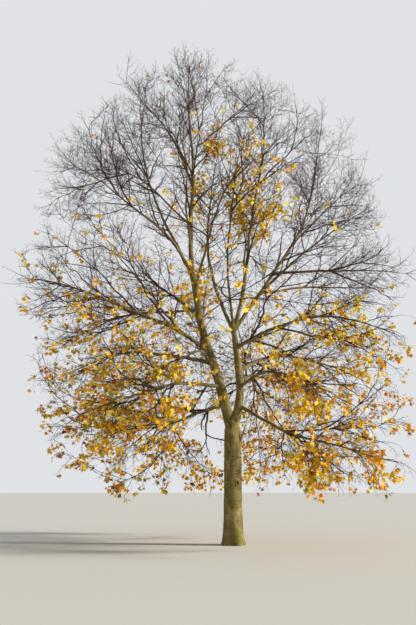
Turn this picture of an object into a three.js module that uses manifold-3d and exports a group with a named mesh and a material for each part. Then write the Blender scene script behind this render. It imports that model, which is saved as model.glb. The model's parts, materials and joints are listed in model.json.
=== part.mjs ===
// A broad maple in autumn: one trunk that forks low into two stems, long curving boughs, and a crown of
// twigs that is bare above and carries leaves below. Millimetres, +Z up, ground at z = 0.
// Every limb is an arm: it leaves its parent at a given fraction of the parent's length, bends evenly from
// one heading to another, and tapers. Its first stretch is the bough and the rest is the stem of a mass of
// twigs. All the twigs come from one seeded rule, and long shoots then fill the widest rooms that it leaves
// under the crown's dome.
import * as THREE from 'three';
import { mergeVertices } from 'three/addons/utils/BufferGeometryUtils.js';
import Module from 'manifold-3d';

const wasm = await Module();
wasm.setup();

// Driving sizes
const TRUNK_HEIGHT = 3350;
const TRUNK_FOOT_RADIUS = 262;
const TRUNK_TOP_RADIUS = 246;
const TRUNK_LEAN = 20;
const SHOULDER_START = 0.9;
const SHOULDER_SHARE = 0.74;
const FLARE_RADIUS = 85;
const FLARE_HEIGHT = 300;
const FLARE_LOBES = 5;
const FLARE_LOBE_SHARE = 0.35;

const CLEARANCE = 0.4;
const SEAM_TOLERANCE = 0.12;
const TWIG_TOLERANCE = 2.5;
const KINK_DEGREES = 5;
const KINK_WAVES = 1.6;
const KINK_STEP = 0.37;
const TIP_SHARE = 0.12;
const STEPS = 16;

const SEAT = 25;
const STEM_RINGS = 5;
const STEM_SHARE = 0.97;
const STEM_LEAST_RADIUS = 7;

const BARE_NODES = 6;
const LEAFY_NODES = 5;
const SHOOT_FIRST = 0.07;
const SHOOT_LAST = 0.97;
const SHOOT_ANGLE_BASE = 58;
const SHOOT_ANGLE_TIP = 34;
const SHOOT_LONG = 1.15;
const SHOOT_FALL_OFF = 0.62;
const SHOOT_RADIUS_SHARE = 0.55;
const SHOOT_LEAST_RADIUS = 9;
const PAIR_TURN = 90;
const TWIG_PLACES = [0.42, 0.72];
const TWIG_ANGLE = 46;
const TWIG_SHARE = 0.48;
const TWIG_RADIUS = 7;
const TWIG_LEAST = 520;

const LEAF_LENGTH = 420;
const LEAF_WIDTH_SHARE = 0.8;
const LEAF_THICKNESS = 18;
const LEAF_DROOP = 0.75;
const LEAF_MIDDLE = 0.62;
const LEAF_END = 0.93;

// The crown's dome, which its outermost tips reach: its middle, its reach to each side and its lean
const DOME_MIDDLE = new THREE.Vector3(-590, 150, 8000);
const DOME_WIDE = 6050;
const DOME_DEEP = 5300;
const DOME_RISE = 7900;
const DOME_DROP = 13500;
const DOME_LEAN = -0.076;
const DOME_POWER = 1.7;

// The rooms under the dome that the ordinary shoots leave empty, and the long shoots sent into them
const ROOM_COUNT = 2600;
const ROOM_SHOOTS = 27;
const ROOM_LEAST_DEPTH = 0.8;
const ROOM_MOST_DEPTH = 0.96;
const ROOM_LOWEST = 1600;
const SKIRT_TOP = 3400;
const SKIRT_LEAST_DEPTH = 0.56;
const FRONT_HALF_WIDTH = 1100;
const FRONT_TOP = 6200;
const ROOM_SHOOT_LEAST = 900;
const ROOM_SHOOT_MOST = 4200;
const ROOM_SHOOT_RADIUS = 13;
const ROOM_SHOOT_BOW = 0.08;
const ROOM_TWIG_BASE = 2000;
const ROOT_TRIES = 12;
const ROOT_FIRST = 0.035;
const ROOT_LAST = 0.93;
const BEST_TURN = 38;

const SPACE_MARGIN = 45;
const LIMB_MARGIN = 30;
const GROUND_MARGIN = 400;
const TEST_PLACES = [0.35, 0.6, 0.8, 1];
const SEED = 4100;

// The two stems that the trunk forks into, as rows of:
// name, parent, place on the parent, azimuth, turn, rise, end rise, length, base radius
const STEMS = [
  ['left_stem', 'trunk', 0.93, 180, 14, 71, 79, 5000, 168],
  ['right_stem', 'trunk', 0.91, 20, 40, 72, 110, 3100, 150],
];

// The arms, as rows of the same sizes and then:
// share that is bough, longest shoot, lift of the twigs (below 0 they hang), share of leaf places filled
const ARMS = [
  ['leader', 'left_stem', 1.0, 150, 20, 90, 87, 7700, 78, 0.42, 2300, 0.35, 0],
  ['left_rise', 'left_stem', 0.99, 213, 5, 52, 4, 5200, 56, 0.36, 2000, 0.2, 0],
  ['left_fan', 'left_stem', 0.98, 130, 15, 57, 68, 8800, 60, 0.38, 1700, 0.3, 0],
  ['upper_left', 'leader', 0.93, 150, 10, 70, 48, 5800, 42, 0.28, 1900, 0.3, 0],
  ['left_long', 'left_stem', 0.48, 200, 3, 32, 0, 6100, 70, 0.38, 1800, 0.15, 0.3],
  ['left_mid', 'left_stem', 0.41, 150, 5, 24, -22, 6300, 62, 0.38, 1700, -0.15, 0.38],
  ['left_low', 'left_stem', 0.27, 222, 8, -2, -30, 5500, 58, 0.34, 1700, -0.3, 0.5],
  ['left_drop', 'left_stem', 0.16, 142, 0, -12, 2, 6200, 56, 0.34, 1700, -0.3, 0.5],
  ['left_level', 'left_stem', 0.76, 158, -5, 8, -18, 5000, 48, 0.34, 1700, 0.1, 0.3],
  ['inner_left', 'right_stem', 1.0, 142, -110, 60, 76, 9200, 62, 0.4, 1900, 0.3, 0],
  ['middle', 'right_stem', 1.0, 255, 40, 62, 54, 5900, 46, 0.36, 1600, 0.2, 0.3],
  ['right_leader', 'right_stem', 1.0, 0, 40, 77, 86, 8700, 70, 0.4, 2200, 0.3, 0],
  ['right_rise', 'right_stem', 1.0, 8, 40, 50, 80, 9100, 66, 0.38, 2200, 0.3, 0],
  ['right_fan', 'right_rise', 0.42, 323, -6, 36, 14, 4300, 48, 0.36, 1700, 0.2, 0],
  ['right_level', 'right_rise', 0.45, 25, 2, 14, 4, 5500, 44, 0.34, 1700, 0.15, 0.3],
  ['right_long', 'right_rise', 0.68, 336, 0, -2, -14, 4400, 42, 0.34, 1600, 0.2, 0.3],
  ['right_bough', 'right_stem', 0.83, 333, -18, 30, -36, 5200, 62, 0.34, 1700, -0.15, 0.55],
  ['right_arch', 'right_stem', 0.6, 45, -22, 28, -32, 6900, 66, 0.34, 1800, -0.25, 0.55],
  ['right_low', 'right_stem', 0.27, 318, 3, -28, -10, 5200, 54, 0.34, 1700, -0.3, 0.55],
  ['front_low', 'left_stem', 0.36, 260, -10, 14, -36, 5000, 52, 0.34, 1800, -0.3, 0.5],
  ['front_right', 'right_stem', 0.45, 290, 0, 12, -34, 5200, 50, 0.34, 1800, -0.3, 0.5],
  ['back_low', 'right_stem', 0.5, 78, 0, 26, -24, 5800, 56, 0.34, 1900, -0.25, 0.5],
  ['back_mid', 'left_stem', 0.68, 116, -10, 40, 6, 5800, 50, 0.34, 1900, 0.05, 0.3],
  ['back_high', 'right_leader', 0.5, 84, 10, 54, 38, 5600, 40, 0.34, 1800, 0.3, 0],
  ['front_high', 'leader', 0.3, 268, 0, 36, 14, 4900, 40, 0.32, 1600, 0.25, 0],
  ['front_mid', 'left_stem', 0.88, 280, 10, 38, 2, 5500, 48, 0.34, 1700, 0.1, 0.3],
  ['right_top', 'right_rise', 0.92, 350, -10, 54, 30, 3500, 34, 0.32, 1600, 0.3, 0],
  ['leader_left', 'leader', 0.5, 194, 0, 46, 22, 4000, 38, 0.32, 1700, 0.25, 0],
];

const up = new THREE.Vector3(0, 0, 1);
const radians = THREE.MathUtils.degToRad;
const mix = THREE.MathUtils.lerp;

// A seeded die, so the same tree grows every time
function dice(seed) {
  let state = seed >>> 0;
  return () => {
    state = (Math.imul(state, 1664525) + 1013904223) >>> 0;
    return state / 4294967296;
  };
}

function heading(azimuth, rise) {
  const a = radians(azimuth);
  const r = radians(rise);
  return new THREE.Vector3(Math.cos(r) * Math.cos(a), Math.cos(r) * Math.sin(a), Math.sin(r));
}

// The line of a limb: its heading turns and rises evenly, with a slight sway to and fro
function walk(start, azimuth, turn, rise, endRise, length, phase) {
  const line = [start.clone()];
  for (let i = 0; i < STEPS; i++) {
    const t = (i + 0.5) / STEPS;
    const sway = KINK_DEGREES * Math.sin(2 * Math.PI * (KINK_WAVES * t + phase));
    const step = heading(azimuth + turn * t + sway, mix(rise, endRise, t) + 0.8 * sway);
    line.push(line[i].clone().addScaledVector(step, length / STEPS));
  }
  return line;
}

// The point a fraction of the way along a line
function along(line, fraction) {
  const last = line.length - 1;
  const k = Math.min(Math.floor(fraction * last), last - 1);
  return line[k].clone().lerp(line[k + 1], fraction * last - k);
}

function directionAt(line, fraction) {
  const last = line.length - 1;
  const k = Math.min(Math.floor(fraction * last), last - 1);
  return line[k + 1].clone().sub(line[k]).normalize();
}

// A stretch of a line in a given number of even steps
function stretch(line, from, to, count) {
  const points = [];
  for (let i = 0; i <= count; i++) points.push(along(line, mix(from, to, i / count)));
  return points;
}

// A solid for the booleans from a closed geometry
function toSolid(geometry) {
  geometry.deleteAttribute('normal');
  geometry.deleteAttribute('uv');
  const merged = mergeVertices(geometry);
  return new wasm.Manifold(new wasm.Mesh({
    numProp: 3,
    vertProperties: new Float32Array(merged.attributes.position.array),
    triVerts: new Uint32Array(merged.index.array),
  }));
}

// Two directions across a line, carried along it from ring to ring so that the rings never twist
function ringFrames(points) {
  const frames = [];
  let side = null;
  points.forEach((point, k) => {
    const before = points[Math.max(k - 1, 0)];
    const after = points[Math.min(k + 1, points.length - 1)];
    const ahead = after.clone().sub(before).normalize();
    if (!side) side = Math.abs(ahead.z) > 0.9 ? new THREE.Vector3(1, 0, 0) : up.clone().cross(ahead);
    side = side.clone().addScaledVector(ahead, -side.dot(ahead)).normalize();
    frames.push({ ahead, side, across: side.clone().cross(ahead) });
  });
  return frames;
}

// A bent, tapering rod: a closed cylinder or, with no end radius, a cone, whose rings follow the points
function rod(points, radii, sides) {
  const count = points.length - 1;
  const pointed = radii[count] === 0;
  const geometry = new THREE.CylinderGeometry(pointed ? 0 : 1, 1, 1, sides, count);
  const frames = ringFrames(points);
  const place = geometry.attributes.position;
  for (let i = 0; i < place.count; i++) {
    const k = Math.round((place.getY(i) + 0.5) * count);
    const reach = Math.hypot(place.getX(i), place.getZ(i));
    const scale = reach > 1e-6 ? radii[k] / reach : 0;
    const spot = points[k].clone();
    spot.addScaledVector(frames[k].side, place.getX(i) * scale);
    spot.addScaledVector(frames[k].across, place.getZ(i) * scale);
    place.setXYZ(i, spot.x, spot.y, spot.z);
  }
  return geometry;
}

// A bough or stem, thickened and lengthened by a margin when it is used to cut its neighbours
function limbSolid(limb, margin) {
  const points = limb.points.map((point) => point.clone());
  const frames = ringFrames(points);
  points[0].addScaledVector(frames[0].ahead, -margin);
  points[points.length - 1].addScaledVector(frames[points.length - 1].ahead, margin);
  return toSolid(rod(points, limb.radii.map((radius) => radius + margin), limb.sides));
}

// The trunk: upright rings that swell into lobed root flares at the ground and close in under the fork
function trunkSolid(margin) {
  const rings = [0, 0.03, 0.07, 0.12, 0.2, 0.35, 0.6, SHOULDER_START, 1];
  const geometry = new THREE.CylinderGeometry(1, 1, 1, 16, rings.length - 1);
  const place = geometry.attributes.position;
  for (let i = 0; i < place.count; i++) {
    const t = rings[Math.round((place.getY(i) + 0.5) * (rings.length - 1))];
    const z = t * TRUNK_HEIGHT;
    const angle = Math.atan2(place.getZ(i), place.getX(i));
    const lobe = 1 + FLARE_LOBE_SHARE * Math.cos(FLARE_LOBES * angle + 0.6);
    const flare = FLARE_RADIUS * Math.exp(-z / FLARE_HEIGHT) * lobe;
    const shoulder = t === 1 ? SHOULDER_SHARE : 1;
    const radius = mix(TRUNK_FOOT_RADIUS, TRUNK_TOP_RADIUS, t) * shoulder + flare + margin;
    const x = TRUNK_LEAN * t + radius * place.getX(i);
    const top = t === 1 ? margin : 0;
    place.setXYZ(i, x, -radius * place.getZ(i), z + top);
  }
  return toSolid(geometry);
}

// The largest body of a solid; loose scraps are dropped
function largest(solid) {
  const bodies = solid.decompose();
  let best = bodies[0];
  for (const body of bodies) if (body.volume() > best.volume()) best = body;
  return best;
}

// All the limbs, each with the line of its whole arm and the rings of its bare part
const lines = { trunk: [new THREE.Vector3(0, 0, 0), new THREE.Vector3(TRUNK_LEAN, 0, TRUNK_HEIGHT)] };
const bareShare = { trunk: 1 };
const limbs = [];
[...STEMS, ...ARMS].forEach((row, index) => {
  const [name, parent, at, azimuth, turn, rise, endRise, length, radius, bare = 1] = row;
  const start = along(lines[parent], at * bareShare[parent]);
  const line = walk(start, azimuth, turn, rise, endRise, length, KINK_STEP * index);
  lines[name] = line;
  bareShare[name] = bare;
  const isStem = index < STEMS.length;
  const rings = isStem ? 8 : Math.max(4, Math.round((bare * length) / 500));
  const points = stretch(line, 0, bare, rings);
  const endShare = isStem ? 0.56 : mix(1, TIP_SHARE, bare);
  const radii = points.map((point, k) => mix(radius, radius * endShare, k / rings));
  limbs.push({ name, parent, points, radii, sides: isStem ? 12 : 8 });
});

const trunk = trunkSolid(0);
const cutters = [{ name: 'trunk', solid: trunkSolid(CLEARANCE) }];
const limbSolids = {};
for (const limb of limbs) {
  let solid = limbSolid(limb, 0);
  for (const cutter of cutters) solid = solid.subtract(cutter.solid);
  limbSolids[limb.name] = largest(solid.asOriginal().simplify(SEAM_TOLERANCE));
  cutters.push({ name: limb.name, solid: limbSolid(limb, CLEARANCE) });
}

// Distance from a point to a line of straight pieces
function distanceTo(point, points) {
  let least = Infinity;
  for (let k = 1; k < points.length; k++) {
    const span = points[k].clone().sub(points[k - 1]);
    const reach = point.clone().sub(points[k - 1]);
    const part = THREE.MathUtils.clamp(reach.dot(span) / span.lengthSq(), 0, 1);
    least = Math.min(least, reach.addScaledVector(span, -part).length());
  }
  return least;
}

// The masses of twigs: each one's stem carries on where its bough ends
const masses = ARMS.map((row) => {
  const [name, , , , , , , length, radius, bare, spread, lift, leafShare] = row;
  const points = stretch(lines[name], bare - SEAT / length, 1, STEM_RINGS);
  const first = radius * mix(1, TIP_SHARE, bare) * STEM_SHARE;
  const last = Math.max(radius * TIP_SHARE, STEM_LEAST_RADIUS);
  const radii = points.map((point, k) => mix(first, last, k / STEM_RINGS));
  return { name, points, radii, spread, lift, leafShare };
});

// A mass keeps to its own space: nearer its own stem than any other, clear of the limbs and the ground
function isClear(point, mass, margin) {
  if (point.z < GROUND_MARGIN) return false;
  const own = distanceTo(point, mass.points);
  for (const other of masses) {
    if (other === mass) continue;
    if (distanceTo(point, other.points) < own + SPACE_MARGIN + margin) return false;
  }
  for (const limb of limbs) {
    if (limb.name === mass.name) continue;
    if (distanceTo(point, limb.points) < limb.radii[0] + LIMB_MARGIN + margin) return false;
  }
  return distanceTo(point, lines.trunk) > TRUNK_FOOT_RADIUS + LIMB_MARGIN + margin;
}

// A shoot or twig: it sets off at an angle to its parent and then bends up, or down where the lift is below 0
function branch(root, ahead, angle, roll, length, lift) {
  const side = Math.abs(ahead.z) > 0.9 ? new THREE.Vector3(1, 0, 0) : up.clone().cross(ahead);
  side.addScaledVector(ahead, -side.dot(ahead)).normalize();
  const across = side.clone().cross(ahead);
  const out = side.multiplyScalar(Math.cos(roll)).addScaledVector(across, Math.sin(roll));
  const set = ahead.clone().multiplyScalar(Math.cos(angle)).addScaledVector(out, Math.sin(angle));
  const bent = set.clone().addScaledVector(up, 2 * lift).normalize();
  const middle = root.clone().addScaledVector(set, length / 2);
  return [root, middle, middle.clone().addScaledVector(bent, length / 2)];
}

// The branch in its mass's space, cut shorter if that frees it, or else nothing
function fitted(root, ahead, angle, roll, length, mass) {
  for (const share of [1, 0.62]) {
    const points = branch(root, ahead, angle, roll, length * share, mass.lift);
    if (TEST_PLACES.every((t) => isClear(along(points, t), mass, 0))) return points;
  }
  return null;
}

// A leaf spray as one flat, four-cornered blade that hangs from its twig, thickest along its middle
function leafSolid(root, ahead, roll, size) {
  const length = LEAF_LENGTH * (0.8 + 0.4 * size);
  const hang = ahead.clone().multiplyScalar(0.6).addScaledVector(up, -LEAF_DROOP);
  hang.x += 0.5 * Math.cos(roll);
  hang.y += 0.5 * Math.sin(roll);
  hang.normalize();
  const wide = up.clone().cross(hang).normalize();
  const deep = hang.clone().cross(wide);
  const centre = root.clone().addScaledVector(hang, 0.36 * length);
  const blade = new THREE.OctahedronGeometry(1, 0);
  blade.scale(length / 2, (length * LEAF_WIDTH_SHARE) / 2, LEAF_THICKNESS / 2);
  blade.applyMatrix4(new THREE.Matrix4().makeBasis(hang, wide, deep).setPosition(centre));
  return { centre, solid: toSolid(blade) };
}

// A leaf at a place on a shoot or twig, if the die fills it and the blade has room there
function addLeaf(mass, points, place, roll) {
  const [fill, turn, size] = [roll(), roll(), roll()];
  if (fill > mass.leafShare) return;
  const root = along(points, place);
  const leaf = leafSolid(root, directionAt(points, place), turn * 2 * Math.PI, size);
  if (isClear(leaf.centre, mass, LEAF_LENGTH)) mass.solid = mass.solid.add(leaf.solid);
}

// The twigs on a shoot, and the leaves on both
function addTwigs(mass, shoot, length, spin, roll) {
  TWIG_PLACES.forEach((place, k) => {
    const twigLength = length * TWIG_SHARE * (1.25 - place) * (0.8 + 0.4 * roll());
    const twigRoll = spin * 2 * Math.PI + k * 2.4;
    if (!shoot || twigLength < TWIG_LEAST) return;
    const from = along(shoot, place);
    const ahead = directionAt(shoot, place);
    const twig = fitted(from, ahead, radians(TWIG_ANGLE), twigRoll, twigLength, mass);
    if (!twig) return;
    mass.shoots.push(twig);
    mass.solid = mass.solid.add(toSolid(rod([twig[0], twig[2]], [TWIG_RADIUS, 0], 3)));
    if (mass.leafShare > 0) addLeaf(mass, [twig[0], twig[2]], LEAF_END, roll);
  });
  if (shoot && mass.leafShare > 0) {
    addLeaf(mass, shoot, LEAF_MIDDLE, roll);
    addLeaf(mass, shoot, LEAF_END, roll);
  }
}

function addShoot(mass, shoot, radius) {
  mass.shoots.push(shoot);
  mass.solid = mass.solid.add(toSolid(rod(shoot, [radius, radius * 0.6, 0], 3)));
}

// A mass as it grows: pairs of shoots along its stem, each pair turned across the last
function growMass(mass, index) {
  const roll = dice(SEED + index);
  mass.solid = toSolid(rod(mass.points, mass.radii, 5));
  mass.shoots = [];
  const nodes = mass.leafShare > 0 ? LEAFY_NODES : BARE_NODES;
  for (let node = 0; node < nodes; node++) {
    const t = mix(SHOOT_FIRST, SHOOT_LAST, (node + 0.25 + 0.5 * roll()) / nodes);
    const turn = radians(PAIR_TURN * node + 50 * roll());
    for (const half of [0, Math.PI]) {
      const [long, tilt, spin] = [roll(), roll(), roll()];
      const length = mass.spread * (SHOOT_LONG - SHOOT_FALL_OFF * t) * (0.8 + 0.4 * long);
      const angle = radians(mix(SHOOT_ANGLE_BASE, SHOOT_ANGLE_TIP, t) + 16 * (tilt - 0.5));
      const root = along(mass.points, t);
      const shoot = fitted(root, directionAt(mass.points, t), angle, turn + half, length, mass);
      const stemRadius = mix(mass.radii[0], mass.radii[STEM_RINGS], t);
      const radius = Math.max(SHOOT_RADIUS_SHARE * stemRadius, SHOOT_LEAST_RADIUS);
      if (shoot) addShoot(mass, shoot, radius);
      addTwigs(mass, shoot, length, spin, roll);
    }
  }
}

// 0 in the middle of the crown and 1 on its dome
function depthInCrown(spot) {
  const away = spot.clone().sub(DOME_MIDDLE);
  away.x -= DOME_LEAN * away.z;
  const high = away.z > 0 ? DOME_RISE : DOME_DROP;
  const shares = [away.x / DOME_WIDE, away.y / DOME_DEEP, away.z / high];
  const sum = shares.reduce((total, share) => total + Math.abs(share) ** DOME_POWER, 0);
  return sum ** (1 / DOME_POWER);
}

// Places just under the dome and in the skirt that hangs below the boughs, but none in front of the fork
function scatterRooms() {
  const roll = dice(SEED - 1);
  const rooms = [];
  for (let i = 0; i < ROOM_COUNT; i++) {
    const x = DOME_MIDDLE.x + DOME_WIDE * (2 * roll() - 1);
    const y = DOME_MIDDLE.y + DOME_DEEP * (2 * roll() - 1);
    const z = mix(ROOM_LOWEST, DOME_MIDDLE.z + DOME_RISE, roll());
    const spot = new THREE.Vector3(x, y, z);
    const depth = depthInCrown(spot);
    const least = z < SKIRT_TOP ? SKIRT_LEAST_DEPTH : ROOM_LEAST_DEPTH;
    const inFront = y < 0 && Math.abs(x) < FRONT_HALF_WIDTH && z < FRONT_TOP;
    if (depth > least && depth < ROOM_MOST_DEPTH && !inFront) rooms.push({ spot, left: Infinity });
  }
  return rooms;
}

// A room is as wide as the distance from its middle to the nearest wood
function narrowRooms(rooms, points) {
  for (const room of rooms) room.left = Math.min(room.left, distanceTo(room.spot, points));
}

// The long shoot from a mass's stem into a room, from the place where it turns off most naturally
function reachRoom(spot, mass) {
  let best = { cost: Infinity };
  for (let k = 0; k <= ROOT_TRIES; k++) {
    const place = mix(ROOT_FIRST, ROOT_LAST, k / ROOT_TRIES);
    const root = along(mass.points, place);
    const ahead = directionAt(mass.points, place);
    const way = spot.clone().sub(root);
    const turn = THREE.MathUtils.radToDeg(way.angleTo(ahead));
    const cost = way.length() * (1 + ((turn - BEST_TURN) / BEST_TURN) ** 2);
    if (cost < best.cost) best = { cost, root, way, ahead };
  }
  const middle = best.root.clone().addScaledVector(best.way, 0.5);
  middle.addScaledVector(best.ahead, ROOM_SHOOT_BOW * best.way.length());
  return [best.root, middle, spot];
}

// The widest room that is left gets a shoot of the mass whose space it is in, over and over
function fillRooms() {
  const rooms = scatterRooms();
  for (const limb of limbs) narrowRooms(rooms, limb.points);
  for (const mass of masses) {
    narrowRooms(rooms, mass.points);
    for (const shoot of mass.shoots) narrowRooms(rooms, shoot);
  }
  for (let count = 0; count < ROOM_SHOOTS && rooms.some((room) => room.left > 0); ) {
    const room = rooms.reduce((widest, other) => (other.left > widest.left ? other : widest));
    room.left = 0;
    const reaches = masses.map((mass) => distanceTo(room.spot, mass.points));
    const mass = masses[reaches.indexOf(Math.min(...reaches))];
    const shoot = reachRoom(room.spot, mass);
    const length = shoot[0].distanceTo(shoot[2]);
    if (length < ROOM_SHOOT_LEAST || length > ROOM_SHOOT_MOST) continue;
    if (!TEST_PLACES.every((t) => isClear(along(shoot, t), mass, 0))) continue;
    const roll = dice(SEED + masses.length + count);
    const before = mass.shoots.length;
    addShoot(mass, shoot, ROOM_SHOOT_RADIUS);
    addTwigs(mass, shoot, ROOM_TWIG_BASE, roll(), roll);
    for (const grown of mass.shoots.slice(before)) narrowRooms(rooms, grown);
    count += 1;
  }
}

// A grown mass, thinned of needless corners and cut clear of its bough
function massSolid(mass) {
  const bough = cutters.find((cutter) => cutter.name === mass.name);
  const coarse = mass.solid.asOriginal().simplify(TWIG_TOLERANCE);
  return largest(coarse.subtract(bough.solid).asOriginal().simplify(SEAM_TOLERANCE));
}

masses.forEach(growMass);
fillRooms();

// A named mesh from a solid
function addPart(name, solid, color, roughness) {
  const mesh = solid.getMesh();
  const geometry = new THREE.BufferGeometry();
  geometry.setAttribute('position', new THREE.BufferAttribute(new Float32Array(mesh.vertProperties), 3));
  geometry.setIndex(new THREE.BufferAttribute(new Uint32Array(mesh.triVerts), 1));
  geometry.computeVertexNormals();
  const part = new THREE.Mesh(geometry, new THREE.MeshStandardMaterial({ color, roughness }));
  part.name = name;
  group.add(part);
}

const group = new THREE.Group();
group.name = 'maple_tree';
addPart('trunk', trunk, 0x6f6a54, 0.95);
for (const stem of STEMS) addPart(stem[0], limbSolids[stem[0]], 0x6a6350, 0.95);
ARMS.forEach((arm, index) => {
  const leafy = masses[index].leafShare > 0;
  addPart(`${arm[0]}_bough`, limbSolids[arm[0]], 0x625848, 0.95);
  const name = leafy ? `${arm[0]}_foliage` : `${arm[0]}_twigs`;
  addPart(name, massSolid(masses[index]), leafy ? 0xd9a92e : 0x5d4b42, 0.9);
});

export default group;
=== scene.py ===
# %% [markdown]
# # A broad maple in late autumn
# The real thing is one tree about 17 m tall: a smooth-barked trunk that forks low into two stems,
# long curving boughs, and a crown that is bare above and holds yellow leaves below. This lesson
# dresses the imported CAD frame. The trunk and boughs are modelled with bmesh operators. Twigs and
# leaves come in tens of thousands, so they are grown by a rule and written straight into mesh
# arrays.

# %% Load the frame
import json
import math

import bmesh
import bpy
import numpy as np
from mathutils import Matrix, Vector, noise

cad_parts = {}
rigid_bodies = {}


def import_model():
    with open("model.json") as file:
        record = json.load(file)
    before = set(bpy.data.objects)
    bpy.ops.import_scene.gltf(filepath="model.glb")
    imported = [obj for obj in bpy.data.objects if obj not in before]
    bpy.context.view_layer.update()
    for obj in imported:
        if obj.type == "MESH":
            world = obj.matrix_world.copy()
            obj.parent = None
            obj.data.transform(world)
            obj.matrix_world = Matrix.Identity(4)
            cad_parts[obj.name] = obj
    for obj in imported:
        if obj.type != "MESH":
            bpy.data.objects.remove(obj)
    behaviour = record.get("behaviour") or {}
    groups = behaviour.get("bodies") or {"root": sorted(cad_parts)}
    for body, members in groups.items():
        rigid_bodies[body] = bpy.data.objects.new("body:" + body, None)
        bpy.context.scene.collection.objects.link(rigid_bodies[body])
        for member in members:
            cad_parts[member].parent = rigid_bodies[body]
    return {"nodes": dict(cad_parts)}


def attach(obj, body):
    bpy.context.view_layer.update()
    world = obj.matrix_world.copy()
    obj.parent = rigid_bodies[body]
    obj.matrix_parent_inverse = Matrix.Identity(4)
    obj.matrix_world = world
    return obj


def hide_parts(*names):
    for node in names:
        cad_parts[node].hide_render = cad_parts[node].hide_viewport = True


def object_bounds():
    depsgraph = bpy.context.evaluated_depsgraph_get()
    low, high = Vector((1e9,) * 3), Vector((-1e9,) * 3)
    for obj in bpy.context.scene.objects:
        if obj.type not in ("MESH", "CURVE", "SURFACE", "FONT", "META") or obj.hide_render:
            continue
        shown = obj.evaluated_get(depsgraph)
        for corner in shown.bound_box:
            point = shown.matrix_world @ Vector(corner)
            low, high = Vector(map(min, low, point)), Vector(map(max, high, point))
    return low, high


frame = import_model()
cad_low, cad_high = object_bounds()
print("CAD box", [round(x, 2) for x in cad_low], [round(x, 2) for x in cad_high])

# %% [markdown]
# ## The plan of the limbs
# Every limb is an arm that leaves its parent at a given fraction of the parent's length, turns and
# rises evenly, and tapers. Its first share is bare bough and the rest is the stem of a mass of
# twigs. The rows are the CAD model's own, so each dressed limb lies exactly on its CAD solid. Drawing
# the limbs by hand would look as natural, but it would drift away from the frame.

# %% The rows of sizes, in millimetres and degrees
MM = 0.001
TRUNK_HEIGHT = 3.35
TRUNK_FOOT_RADIUS = 0.262
TRUNK_TOP_RADIUS = 0.246
TRUNK_LEAN = 0.02
# a bough's tip, and a stem's, as a share of its radius at the root
TIP_SHARE = 0.12
STEM_TIP_SHARE = 0.56

# name, parent, place on the parent, azimuth, turn, rise, end rise, length, base radius
STEMS = [
    ("left_stem", "trunk", 0.93, 180, 14, 71, 79, 5000, 168),
    ("right_stem", "trunk", 0.91, 20, 40, 72, 110, 3100, 150),
]
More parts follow.
